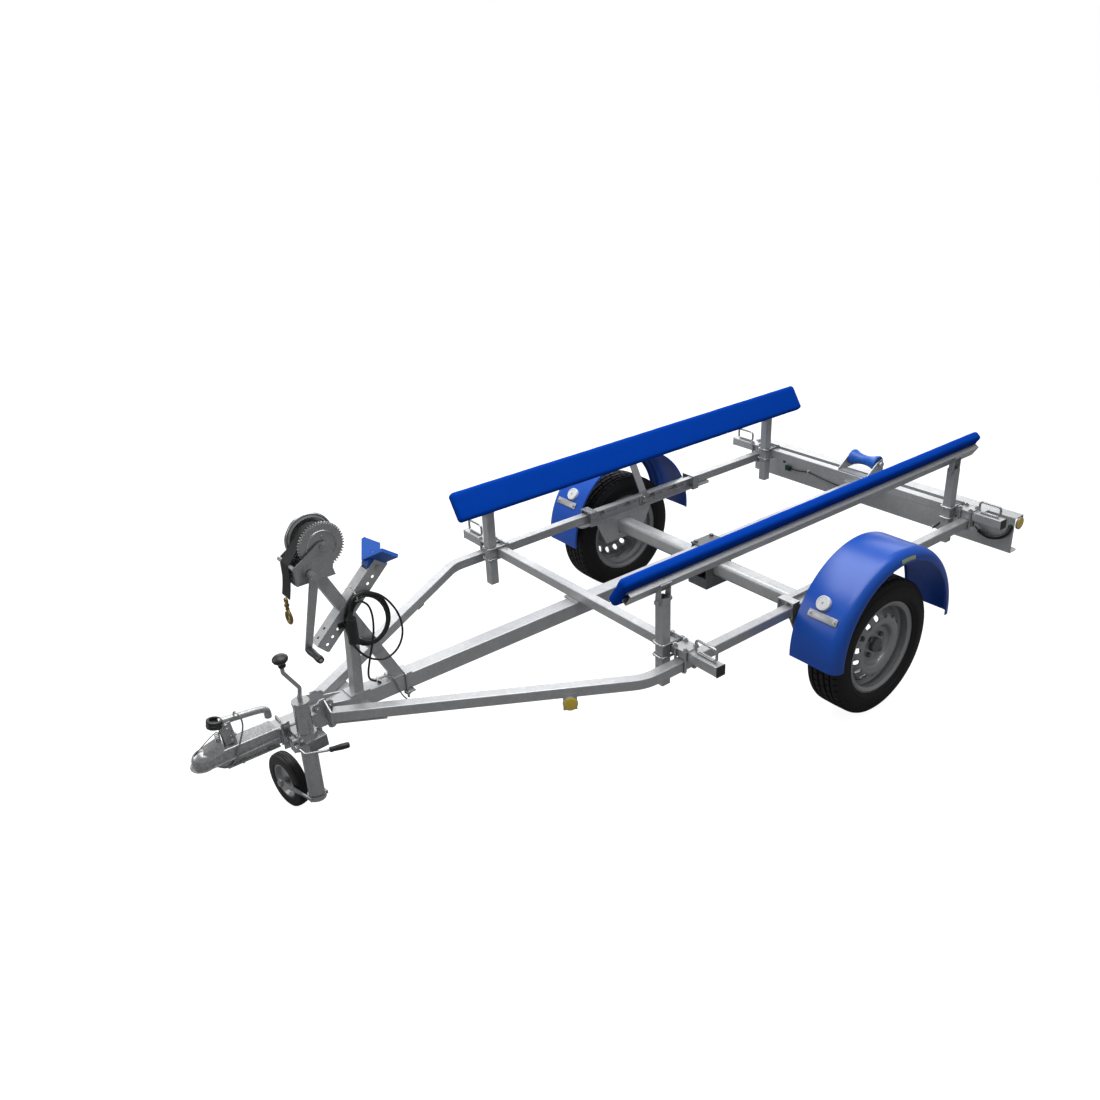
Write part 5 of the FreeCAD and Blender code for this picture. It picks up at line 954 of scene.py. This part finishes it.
@dataclass
class WinchStrap(SubAssembly):
    """The winch's webbing: layers wound on the drum, and the run over the guide bar."""

    drum: Flat = (1897.0, 790.0)
    bar: Flat = (2001.0, 746.0)
    wrap_radius: float = 58.0
    bar_radius: float = 7.0
    gap: float = 0.35
    thick: float = 3.0
    half_width: float = 28.0
    hang: float = 112.0
    swing: float = 15.0
    layers: int = 10
    # half the width of the wound layers, at their seams and between them
    wound_half: Flat = (28.9, 29.6)

    def run(self) -> list[Flat]:
        """Inner line of the strap as (x, z), from the drum over the bar to its end."""
        (cx, cz), (bx, bz) = self.drum, self.bar
        reel, guide = self.wrap_radius + self.gap, self.bar_radius + self.gap
        dx, dz = bx - cx, bz - cz
        lean = math.atan2(dz, dx) + math.acos((reel - guide) / math.hypot(dx, dz))
        points = [(cx + reel * math.cos(lean), cz + reel * math.sin(lean))]
        for angle in (lean * (1 - k / 8) for k in range(9)):
            points.append((bx + guide * math.cos(angle), bz + guide * math.sin(angle)))
        points += [(bx + guide + self.swing * share ** 2, bz - self.hang * share)
                   for share in (0.3, 0.5, 0.7, 0.96)]
        return points

    def build(self, bench: Bench) -> None:
        """Makes the hanging strap and the wound layers."""
        form = bmesh.new()
        ring = [form.verts.new((x, -self.half_width, z)) for x, z in self.run()]
        edges = [form.edges.new(pair) for pair in zip(ring, ring[1:])]
        made = bmesh.ops.extrude_edge_only(form, edges=edges)["geom"]
        moved = [part for part in made if isinstance(part, bmesh.types.BMVert)]
        bmesh.ops.translate(form, vec=(0, 2 * self.half_width, 0), verts=moved)
        bmesh.ops.solidify(form, geom=form.faces[:], thickness=-self.thick)
        self.map_threads(form)
        bench.piece(form, "winch_webbing", "webbing", ("winch_strap",))
        roll = bmesh.new()
        side = []
        seam, edge = self.wound_half
        for k in range(self.layers):
            outer = self.wrap_radius - self.thick * k
            side += [(outer - 0.6, edge), (outer - 2.4, edge), (outer - self.thick, seam)]
        top = self.wrap_radius + 0.2
        lathe(roll, [(top, -28.6), (top, 28.6), *side, *((r, -y) for r, y in reversed(side))],
              (self.drum[0], 0.0, self.drum[1]), 96)
        self.map_threads(roll)
        bench.piece(roll, "wound_webbing", "webbing", body="drum")

    def map_threads(self, form: Form) -> None:
        """Gives the strap a UV map in metres: across its width, and along its length."""
        layer = form.loops.layers.uv.new("UVMap")
        cx, cz = self.drum
        for loop in (loop for face in form.faces for loop in face.loops):
            spot = loop.vert.co
            along = math.hypot(spot.x - cx, spot.z - cz)
            if along < self.wrap_radius + 1:
                along = math.atan2(spot.z - cz, spot.x - cx) * self.wrap_radius
            loop[layer].uv = (spot.y / 1000, along / 1000)


@dataclass
class WinchTrim(SubAssembly):
    """What is pressed and riveted on the gear's face and the far flange."""

    axis: Flat = (1897.0, 790.0)
    face_y: float = 45.0
    flange_y: float = -40.4
    ring: tuple[Flat, ...] = ((46.0, -0.4), (47.2, 1.2), (49.0, 1.8), (50.8, 1.2), (52.0, -0.4))
    rivet: tuple[Flat, ...] = ((0.0, 2.6), (3.4, 2.2), (5.6, 0.9), (6.0, -0.4))
    rivet_circle: float = 30.0
    rim: tuple[Flat, ...] = (
        (66.0, -1.0), (66.6, 4.6), (68.6, 6.4), (71.0, 6.0), (79.6, -0.6), (82.2, -3.4),
        (82.6, -5.6), (81.0, -7.0), (67.0, -7.0), (66.0, -1.0))

    def build(self, bench: Bench) -> None:
        """Makes the ring, the rivets and the flange's rim, which turn with the drum."""
        form = bmesh.new()
        x, z = self.axis
        turned(form, self.ring, seated((x, self.face_y, z), LEFT, AHEAD), 72)
        for turn in (math.radians(100 + 120 * k) for k in range(3)):
            spot = (x + self.rivet_circle * math.cos(turn), self.face_y,
                    z + self.rivet_circle * math.sin(turn))
            turned(form, self.rivet, seated(spot, LEFT, AHEAD), 20)
        turned(form, self.rim, seated((x, self.flange_y, z), LEFT, AHEAD), 96)
        bench.piece(form, "gear_pressing", "zinc", body="drum")


@dataclass
class JockeyTyre(SubAssembly):
    """The solid jockey tyre: a crowned tread with four grooves, at its parked heading."""

    jack: Flat = (2071.0, 96.0)
    trail: float = 178.0
    heading: float = -82.0
    centre_z: float = -80.0
    radius: float = 101.0
    half_width: float = 22.0
    rim: float = 62.0
    grooves: Point = (-11.5, -4.0, 4.0, 11.5)
    # half of a groove's section: depth, and distance from its middle
    groove: tuple[Flat, ...] = ((0.2, 1.9), (0.9, 1.3), (3.2, 0.9))

    def build(self, bench: Bench) -> None:
        """Makes the tyre in the place of its CAD solid."""
        r, h = self.radius, self.half_width
        wall = [(self.rim, -h + 3), (self.rim + 4, -h + 0.6), (self.rim + 9, -h),
                (r - 25, -h - 0.2), (r - 23, -h + 0.7), (r - 20, -h), (r - 14, -h + 0.2),
                (r - 8, -h + 1.4), (r - 4, -h + 4.0)]
        section = list(wall)
        for middle in self.grooves:
            lip = r - 2.4 * (middle / 16.0) ** 2
            section += [(lip - depth, middle - away) for depth, away in self.groove]
            section += [(lip - depth, middle + away) for depth, away in reversed(self.groove)]
        section += [(radius, -along) for radius, along in reversed(wall)]
        form = bmesh.new()
        x, y = self.jack
        lathe(form, section, (x + self.trail, y, self.centre_z), 128)
        bmesh.ops.rotate(form, cent=(x, y, 0), verts=form.verts,
                         matrix=Matrix.Rotation(math.radians(self.heading), 3, "Z"))
        bench.piece(form, "jockey_tread", "solid_rubber", ("jockey_tyre",),
                    "jockey_wheel")


@dataclass
class BeamWiring(SubAssembly):
    """Cable, joint and ribbed conduit along the front of the rear beam's web."""

    face_x: float = -1030.0
    cable: tuple[Point, ...] = (
        (-1026, 364, 46), (-1023, 380, 58), (-1018, 404, 86), (-1013, 428, 118),
        (-1010, 455, 145), (-1010, 490, 158), (-1010, 525, 172), (-1012, 548, 158),
        (-1013, 572, 132), (-1014, 598, 112))
    tail: tuple[Point, ...] = (
        (-1023, -515, 110), (-1023, -470, 108), (-1024, -421, 114), (-1025, -383, 122),
        (-1025, -309, 112), (-1025, -220, 102), (-1026, -150, 100), (-1028.5, -120, 100))
    conduit: tuple[Point, ...] = (
        (-1014, 598, 112), (-1014, 630, 98), (-1014, 667, 97), (-1015, 705, 112),
        (-1016, 730, 136), (-1019, 736, 158), (-1027, 736, 168))
    conduit_r: float = 9.5
    pitch: float = 3.6
    # the joint's box, and the (y, z) of its gland, the grommet and the cable ties
    joint: tuple[Point, Point] = ((-1030, -532, 96), (-1015, -498, 124))
    gland: Flat = (-548, 137)
    grommet: Flat = (736, 168)
    ties: tuple[Flat, ...] = ((-383, 122), (366, 49))

    def ribs(self, form: Form, bench: Bench) -> None:
        """Sets a collar every few millimetres along the conduit's line.

        Args:
            form: The mesh that takes the collars.
            bench: Where the line is made.
        """
        line = bench.line("conduit_line", self.conduit, 0.0, 1)
        mesh = baked(line)
        back = bench.stance.matrix.inverted()
        spots = [back @ vert.co for vert in mesh.vertices]
        bpy.data.meshes.remove(mesh)
        low, high = self.conduit_r - 2.0, self.conduit_r
        collar = [(low, 0.0), (high, self.pitch * 0.3), (high, self.pitch * 0.65),
                  (low, self.pitch)]
        carry = 0.0
        for a, b in zip(spots, spots[1:]):
            way = b - a
            while carry < way.length:
                turned(form, collar, seated(a + way.normalized() * carry, way,
                                            (0.3, 0.2, 1.0)), 20)
                carry += self.pitch
            carry -= way.length

    def build(self, bench: Bench) -> None:
        """Makes the run, its joint and the ties."""
        bench.wire("beam_cable", self.cable, 3.4, "sheath")
        bench.wire("joint_cable", self.tail, 3.0, "sheath")
        form = bmesh.new()
        self.ribs(form, bench)
        bench.piece(form, "beam_conduit", "sheath", detail=Detail.SOFT)
        bench.wire("conduit_liner", self.conduit, self.conduit_r - 1.6, "sheath")
        joint = bmesh.new()
        x = self.face_x
        block(joint, *self.joint, 3.0)
        turned(joint, [(0.0, 4.0), (5.0, 4.0), (8.5, 2.5), (9.0, 0.0)],
               seated((x, *self.gland), AHEAD), 24)
        turned(joint, [(4.0, 5.0), (8.0, 5.0), (11.5, 3.0), (12.0, 0.0)],
               seated((x, *self.grommet), AHEAD), 24)
        bench.piece(joint, "beam_joint", "green_nylon")
        tie = bmesh.new()
        for y, z in self.ties:
            bar(tie, seated((x + 8.2, y, z), AHEAD, UP), (16.0, 4.5, 1.4), 0.4)
            for low, high in ((5.5, 8.2), (-8.2, -5.5)):
                block(tie, (x, y - 2.2, z + low), (x + 9.4, y + 2.2, z + high), 0.4)
        bench.piece(tie, "beam_ties", "tie")


@dataclass(frozen=True)
class BoltRow:
    """Like bolts on both halves of the frame, given as they are on the left."""

    # (x, z) of each bolt, and their common Y and way out
    spots: tuple[Flat, ...]
    y: float
    way: Point
    # width across the flats, height of the hexagon, length of the end above it
    size: Point

    def fit(self, form: Form) -> None:
        """Adds the bolts to a mesh."""
        for sign in (1, -1):
            for x, z in self.spots:
                bolt_head(form, (x, sign * self.y, z),
                          (self.way[0], sign * self.way[1], self.way[2]), *self.size)


@dataclass
class NoseHardware(SubAssembly):
    """U-bolts, clamp bolts, the safety rope and the small wires at the drawbar's nose."""

    # middle of a 9 mm rod 0.7 mm off the 60 mm drawbar: beside, above and below it
    half: float = 35.2
    top: float = 212.2
    low: float = 141.8
    jack_x: float = 2114.0
    stand_x: float = 1659.0
    rod: float = 4.5
    rows: tuple[BoltRow, ...] = (
        # the rails' noses and the coupling's flange on the drawbar
        BoltRow(((1955, 224), (2000, 226), (1953, 146), (2008, 141)), 36, LEFT, (17, 8, 5)),
        BoltRow(((2265, 152), (2170, 156)), 33, DOWN, (13, 7, 6)),
        # the axle's hangers on the rails
        BoltRow(((225, 203), (66, 203), (-95, 203), (-244, 203)), 581, (0, -1, 0),
                (16, 7, 6)),
        BoltRow(((-23, 190), (-23, 214)), 576, (0, -1, 0), (15, 7, 5)))
    # the coupling's ledge: middle and size of its left side, and the lip round the nose
    ledge_side: Point = (2251.5, 38.0, 173.0)
    ledge_size: Point = (221.0, 11.0, 3.2)
    ledge_slope: float = 0.032
    nose: Point = (2377.0, 0.0, 170.0)
    nose_slope: float = 0.06
    nose_lip: tuple[Flat, ...] = (
        (30.0, -1.8), (43.0, -1.8), (44.0, 0.0), (43.0, 1.8), (30.0, 1.8), (30.0, -1.8))
    collar: Point = (2047, 101, 160)
    collar_size: Point = (66.0, 44.0, 31.0)
    rope: tuple[Point, ...] = (
        (2254, -8, 302), (2255, 4, 315), (2252, 18, 317), (2247, 29, 306), (2244, 35, 288),
        (2248, 39, 268), (2256, 42, 248), (2267, 43, 224), (2276, 43, 200), (2283, 43, 178),
        (2291, 42, 163), (2304, 37, 150), (2322, 32, 146), (2338, 30, 156), (2350, 33, 168))
    breakaway: tuple[Point, ...] = (
        (2318, -4, 262), (2330, -5, 258), (2346, -4, 249), (2366, -2, 237), (2384, 0, 226),
        (2396, 0, 218), (2402, 1, 213))
    earth: tuple[Point, ...] = (
        (1752, -16, 210), (1744, 2, 216), (1732, 18, 228), (1714, 30, 224), (1701, 36, 198),
        (1692, 36, 158), (1680, 38, 130), (1670, 40, 118))
    ties: tuple[tuple[Point, ...], ...] = (
        ((1768, -34, 209), (1758, -24, 210), (1750, -6, 213), (1746, 14, 222), (1741, 22, 216)),
        ((1738, -34, 209), (1744, -20, 211), (1752, -2, 214), (1760, 16, 226), (1768, 24, 222)))
    coil_hook: tuple[Point, ...] = (
        (1832, 24.6, 606), (1824, 25.4, 611), (1812, 26, 608), (1806, 27, 596),
        (1806, 32, 588), (1806, 43, 584), (1806, 49, 572), (1806, 43, 558), (1806, 30, 556),
        (1806, 22, 562))

    def build(self, bench: Bench) -> None:
        """Makes the hardware of the nose."""
        h, top, low = self.half, self.top, self.low
        # each U as (y, z) control points, doubled up near its corners
        for name, x, bow in (
                ("jack_u_bolt", self.jack_x, (
                    (h + 17, top), (h, top), (-h + 8, top), (-h, top), (-h, top - 8),
                    (-h, low + 8), (-h, low), (-h + 8, low), (h, low), (h + 17, low))),
                ("stand_u_bolt", self.stand_x, (
                    (h, low - 22), (h, low), (h, top - 8), (h, top), (h - 8, top),
                    (-h + 8, top), (-h, top), (-h, top - 8), (-h, low), (-h, low - 22)))):
            bench.wire(name, [(x, y, z) for y, z in bow], self.rod, "zinc", 4)
        self.bolts(bench)
        self.ledge(bench)
        bench.wire("safety_rope", self.rope, 2.9, "rope")
        bench.wire("breakaway_wire", self.breakaway, 1.5, "sheath")
        bench.wire("earth_wire", self.earth, 2.6, "rope")
        for k, points in enumerate(self.ties):
            bench.wire(f"nylon_tie_{k}", points, 1.8, "tie")
        bench.wire("coil_hook", self.coil_hook, 1.7, "tie")

    def bolts(self, bench: Bench) -> None:
        """Makes the U-bolts' plates and every bolt head and nut of the frame."""
        form = bmesh.new()
        h, top, low = self.half, self.top, self.low
        bar(form, seated((self.jack_x, h + 1.2, (top + low) / 2), LEFT, UP), (100, 30, 5))
        for z in (top, low):
            bolt_head(form, (self.jack_x, h + 6.2, z), LEFT, 15, 7)
        bar(form, seated((self.stand_x - 7, 0, low + 5.0), DOWN), (96, 34, 5))
        for row in (BoltRow(((self.stand_x, low),), h, DOWN, (15, 7, 8)), *self.rows):
            row.fit(form)
        bench.piece(form, "frame_bolts", "zinc")

    def ledge(self, bench: Bench) -> None:
        """Folds the coupling's ledge along its sides and round its nose, and the jack's collar."""
        form = bmesh.new()
        x, y, z = self.ledge_side
        for sign in (1, -1):
            bar(form, seated((x, sign * y, z), (self.ledge_slope, 0, 1),
                             (1, 0, -self.ledge_slope)), self.ledge_size)
        turned(form, self.nose_lip, seated(self.nose, (self.nose_slope, 0, 1)), 64)
        bench.piece(form, "coupling_ledge", "coupling")
        form = bmesh.new()
        bar(form, seated(self.collar, LEFT, (1, 0, -self.nose_slope)), self.collar_size, 3.0)
        bench.piece(form, "jack_collar", "dark_zinc", detail=Detail.SOFT)


@dataclass
class Grips(SubAssembly):
    """Black hand pieces: the jack's knob and clamp sleeve, and the coupling's ribbed roll."""

    knob: Point = (2110.0, 96.0, 490.0)
    knob_walls: tuple[Flat, ...] = (
        (0.0, -31.0), (9.0, -31.0), (11.5, -29.0), (12.5, -24.0), (10.5, -19.0), (12.0, -16.0),
        (18.0, -11.5), (23.5, -6.0), (25.6, 0.0), (24.5, 4.5), (20.0, 9.0), (13.5, 12.0),
        (7.0, 13.6), (0.0, 14.0))
    sleeve: tuple[Point, Point] = ((2036.0, 183.5, 159.9), (1977.5, 212.7, 168.4))
    roll: Point = (2320.0, 0.0, 299.0)
    roll_ribs: Point = (6.0, 0.5, -5.0, -10.5)

    def build(self, bench: Bench) -> None:
        """Makes the three pieces."""
        form = bmesh.new()
        turned(form, self.knob_walls, seated(self.knob, (0.1, 0, 1)), 48)
        bench.piece(form, "jack_knob_cap", "black", ("jack_knob",),
                    detail=Detail.SOFT)
        form = bmesh.new()
        start, stop = map(Vector, self.sleeve)
        long = (stop - start).length
        turned(form, [(0.0, 0.0), (6.5, 0.0), (8.6, 1.5), (9.2, 6.0), (8.6, 14.0), (9.4, 26.0),
                      (10.4, 38.0), (9.8, long - 5.0), (7.0, long - 0.8), (0.0, long)],
               seated(start, stop - start), 32)
        bench.piece(form, "clamp_sleeve", "black", detail=Detail.SOFT)
        form = bmesh.new()
        walls = [(0.0, 2.0), (15.0, 2.0), (16.0, 11.5), (17.5, 13.0), (22.5, 12.6), (25.0, 11.0)]
        for height in self.roll_ribs:
            walls += [(25.4, height + 3.0), (25.4, height + 1.0), (24.0, height),
                      (24.0, height - 1.0)]
        walls += [(24.4, -13.0), (21.5, -14.5), (0.0, -14.5)]
        turned(form, walls, seated(self.roll, (-0.2, 0, 1)), 56)
        bench.piece(form, "coupling_roll", "black", ("coupling_grip",))


@dataclass
class CouplingLever(SubAssembly):
    """The coupling's locking lever: a round bar on two pinned plates, with its return spring."""

    line: tuple[Point, ...] = (
        (2150, 0, 244), (2149, 0, 262), (2156, 0, 276), (2174, 0, 282), (2210, 0, 286.5),
        (2260, 0, 292), (2296, 0, 295.5), (2309, 0, 297))
    pins: tuple[Flat, ...] = ((2283, 228), (2292, 274))
    # the plates' middle, and the Y of each one's inner face
    plate: Flat = (2289, 250)
    plate_faces: Flat = (-14.0, 10.0)
    bridge: tuple[Point, Point] = ((2262, -12, 232), (2302, 12, 240))
    # the spring: its axis and foot, its radius, and its rise for each radian
    spring: Point = (2320.0, 0.0, 230.0)
    spring_r: float = 8.0
    spring_rise: float = 0.95

    def build(self, bench: Bench) -> None:
        """Makes the lever in the place of its CAD solid, its bracket and the spring."""
        bench.wire("coupling_lever", self.line, 12.0, "coupling", 8,
                   ("coupling_handle",))
        form = bmesh.new()
        for side in self.plate_faces:
            bar(form, seated((self.plate[0], side, self.plate[1]), LEFT, (0.12, 0, 1)),
                (84.0, 38.0, 4.0), 2.0)
        for x, z in self.pins:
            bolt_head(form, (x, 14.2, z), LEFT, 15.0, 6.0, 3.0)
            turned(form, [(0.0, 0.0), (5.0, 0.0), (5.0, 24.0), (0.0, 24.0)],
                   seated((x, -12.0, z), LEFT), 20)
        block(form, *self.bridge, 1.5)
        bench.piece(form, "lever_bracket", "zinc")
        x, y, z = self.spring
        coil = [(x + self.spring_r * math.cos(turn), y + self.spring_r * math.sin(turn),
                 z + turn * self.spring_rise) for turn in (k * math.pi / 4 for k in range(45))]
        bench.wire("return_spring", coil, 1.5, "zinc")


@dataclass
class SnapHook(SubAssembly):
    """The strap's snap hook: a forged eye, its swivel neck, the bill and the sprung gate."""

    x: float = 2023.5
    top: float = 635.0
    eye: tuple[Flat, ...] = (
        (5.6, -3.4), (9.4, -4.0), (11.0, -2.2), (11.0, 2.2), (9.4, 4.0), (5.6, 3.4),
        (4.4, 1.8), (4.4, -1.8), (5.6, -3.4))
    neck: tuple[Flat, ...] = (
        (0.0, 0.0), (5.0, 0.0), (7.4, 1.5), (8.4, 5.0), (8.0, 9.0), (5.6, 12.0), (5.2, 17.0),
        (7.0, 19.0), (6.4, 22.0), (0.0, 22.0))
    # (y, distance below the top) of the bent rods
    bill: tuple[Flat, ...] = (
        (0, 40), (4, 46), (15, 54), (21, 66), (18, 80), (7, 89), (-6, 88), (-15, 79),
        (-17, 66), (-13, 57))
    gate: tuple[Flat, ...] = ((3, 44), (-3, 49), (-9, 55), (-15, 62))

    def build(self, bench: Bench) -> None:
        """Makes the hook in the place of its CAD solid."""
        x, z = self.x, self.top
        form = bmesh.new()
        turned(form, self.eye, seated((x, 0, z - 10.0), AHEAD), 40)
        turned(form, self.neck, seated((x, 0, z - 20.0), DOWN), 32)
        bench.piece(form, "hook_eye", "brass", ("strap_hook",),
                    detail=Detail.SOFT)
        for name, rod, radius, sides in (("hook_bill", self.bill, 5.4, 5),
                                         ("hook_gate", self.gate, 2.6, 3)):
            bench.wire(name, [(x, y, z - down) for y, down in rod], radius, "brass",
                       sides)


# ---- studio -----------------------------------------------------------------------------------
@dataclass(frozen=True)
class Softbox:
    """A rectangular lamp: where it hangs and what it faces, in metres, its size and its watts."""

    name: str
    place: Point
    aim: Point
    size: Flat
    power: float

    def hang(self) -> None:
        """Adds the lamp to the scene, unseen by the camera."""
        data = bpy.data.lights.new(self.name, "AREA")
        data.shape = "RECTANGLE"
        data.size, data.size_y, data.energy = *self.size, self.power
        lamp = bpy.data.objects.new(self.name, data)
        turn = (Vector(self.aim) - Vector(self.place)).to_track_quat("-Z", "Y")
        lamp.matrix_world = Matrix.Translation(self.place) @ turn.to_matrix().to_4x4()
        lamp.visible_camera = False
        bpy.context.scene.collection.objects.link(lamp)


@dataclass
class Studio:
    """The photograph's viewpoint, a pale floor and soft overhead light."""

    eye: Point = (3012.10, 2734.16, 2081.88)
    forward: Point = (-0.53830727, -0.72468225, -0.43018708)
    up: Point = (-0.29655954, -0.31491823, 0.901598)
    lens_px: float = 999.23
    frame_px: float = 1100.0
    floor_half: float = 30.0
    floor_grey: str = "808080"
    floor_white: str = "F4F4F4"
    glow: float = 1.21
    glow_share: float = 0.78
    world_level: float = 0.31
    lamps: tuple[Softbox, ...] = (
        Softbox("overhead", (0.3, -0.3, 4.6), (0.3, 0.0, 0.0), (5.0, 5.0), 330.0),
        Softbox("rear_wall", (-2.9, -4.4, 2.5), (0.3, 0.0, 0.3), (9.0, 3.6), 210.0),
        Softbox("front_side", (4.6, -2.6, 2.2), (1.0, 0.0, 0.3), (2.4, 2.4), 55.0))

    def camera(self, stance: Stance) -> None:
        """Puts the camera where the photograph was taken from."""
        data = bpy.data.cameras.new("camera")
        data.sensor_width = 36.0
        data.lens = self.lens_px / self.frame_px * data.sensor_width
        data.clip_end = 200.0
        back, up = -stance.way(self.forward), stance.way(self.up)
        turn = Matrix((up.cross(back), up, back)).transposed().to_4x4()
        camera = bpy.data.objects.new("camera", data)
        camera.matrix_world = Matrix.Translation(stance.point(self.eye)) @ turn
        bpy.context.scene.collection.objects.link(camera)
        bpy.context.scene.camera = camera

    def seen(self, tree: Tree) -> Socket:
        """A factor that is one for camera and transmission rays."""
        path = add_node(tree, "LightPath")
        return add_node(tree, "Math", {"operation": "MAXIMUM"}, {
            0: path.outputs["Is Camera Ray"], 1: path.outputs["Is Transmission Ray"]}).outputs[0]

    def floor(self) -> None:
        """Lays a floor that is white to the eye and grey to the light, and keeps a shadow."""
        form = bmesh.new()
        bmesh.ops.create_grid(form, x_segments=1, y_segments=1, size=self.floor_half)
        mesh = bpy.data.meshes.new("floor")
        form.to_mesh(mesh)
        form.free()
        floor = bpy.data.objects.new("floor", mesh)
        bpy.context.scene.collection.objects.link(floor)
        material = bpy.data.materials.new("white_painted_floor")
        tree = bare_tree(material)
        matt, pale = (add_node(tree, "BsdfDiffuse", {"Color": linear(code)}).outputs[0]
                      for code in (self.floor_grey, self.floor_white))
        glow = add_node(tree, "Emission", {"Strength": self.glow}).outputs[0]
        face = add_node(tree, "MixShader", {0: self.glow_share}, {1: pale, 2: glow}).outputs[0]
        mix = add_node(tree, "MixShader", None, {0: self.seen(tree), 1: matt, 2: face})
        add_node(tree, "OutputMaterial", None, {"Surface": mix.outputs[0]})
        mesh.materials.append(material)

    def world(self) -> None:
        """White surroundings to the eye, a plain grey level for all other light."""
        world = bpy.data.worlds.new("studio")
        bpy.context.scene.world = world
        tree = bare_tree(world)
        level = add_node(tree, "MapRange", {"To Min": self.world_level, "To Max": 1.0},
                         {"Value": self.seen(tree)})
        sky = add_node(tree, "Background", {"Color": linear("FFFFFF")},
                       {"Strength": level.outputs[0]})
        add_node(tree, "OutputWorld", None, {"Surface": sky.outputs[0]})

    def build(self, stance: Stance) -> None:
        """Sets up the view, the floor and the light.

        Args:
            stance: Where the chassis frame stands.
        """
        self.camera(stance)
        self.floor()
        self.world()
        for lamp in self.lamps:
            lamp.hang()
        bpy.context.scene.view_settings.view_transform = "Standard"


def paint_nodes(materials: dict[str, bpy.types.Material]) -> None:
    """Gives every CAD node its finish.

    Args:
        materials: The built finishes by key.
    """
    finish_of = {name: key for key, names in NODES_BY_FINISH.items() for name in names.split()}
    for name, node in frame["nodes"].items():
        node.data.materials.clear()
        node.data.materials.append(materials[finish_of[name]])


def main() -> None:
    """Builds every finish and sub-assembly in order."""
    logging.basicConfig(level=logging.INFO, format="%(name)s %(message)s")
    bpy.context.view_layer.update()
    stance = Stance(frame["joints"])
    materials = {key: finish.build() for key, finish in FINISHES.items()}
    paint_nodes(materials)
    bench = Bench(stance, materials)
    Studio().build(stance)
    LightCable().build(bench)
    for side in Side:
        for kind in (RoadTyre, BunkPad, GuardTrim, Lenses):
            kind(side).build(bench)
    for kind in (WinchStrap, WinchTrim, JockeyTyre, BeamWiring, NoseHardware, Grips,
                 CouplingLever, SnapHook):
        kind().build(bench)


if __name__ == "__main__":
    main()
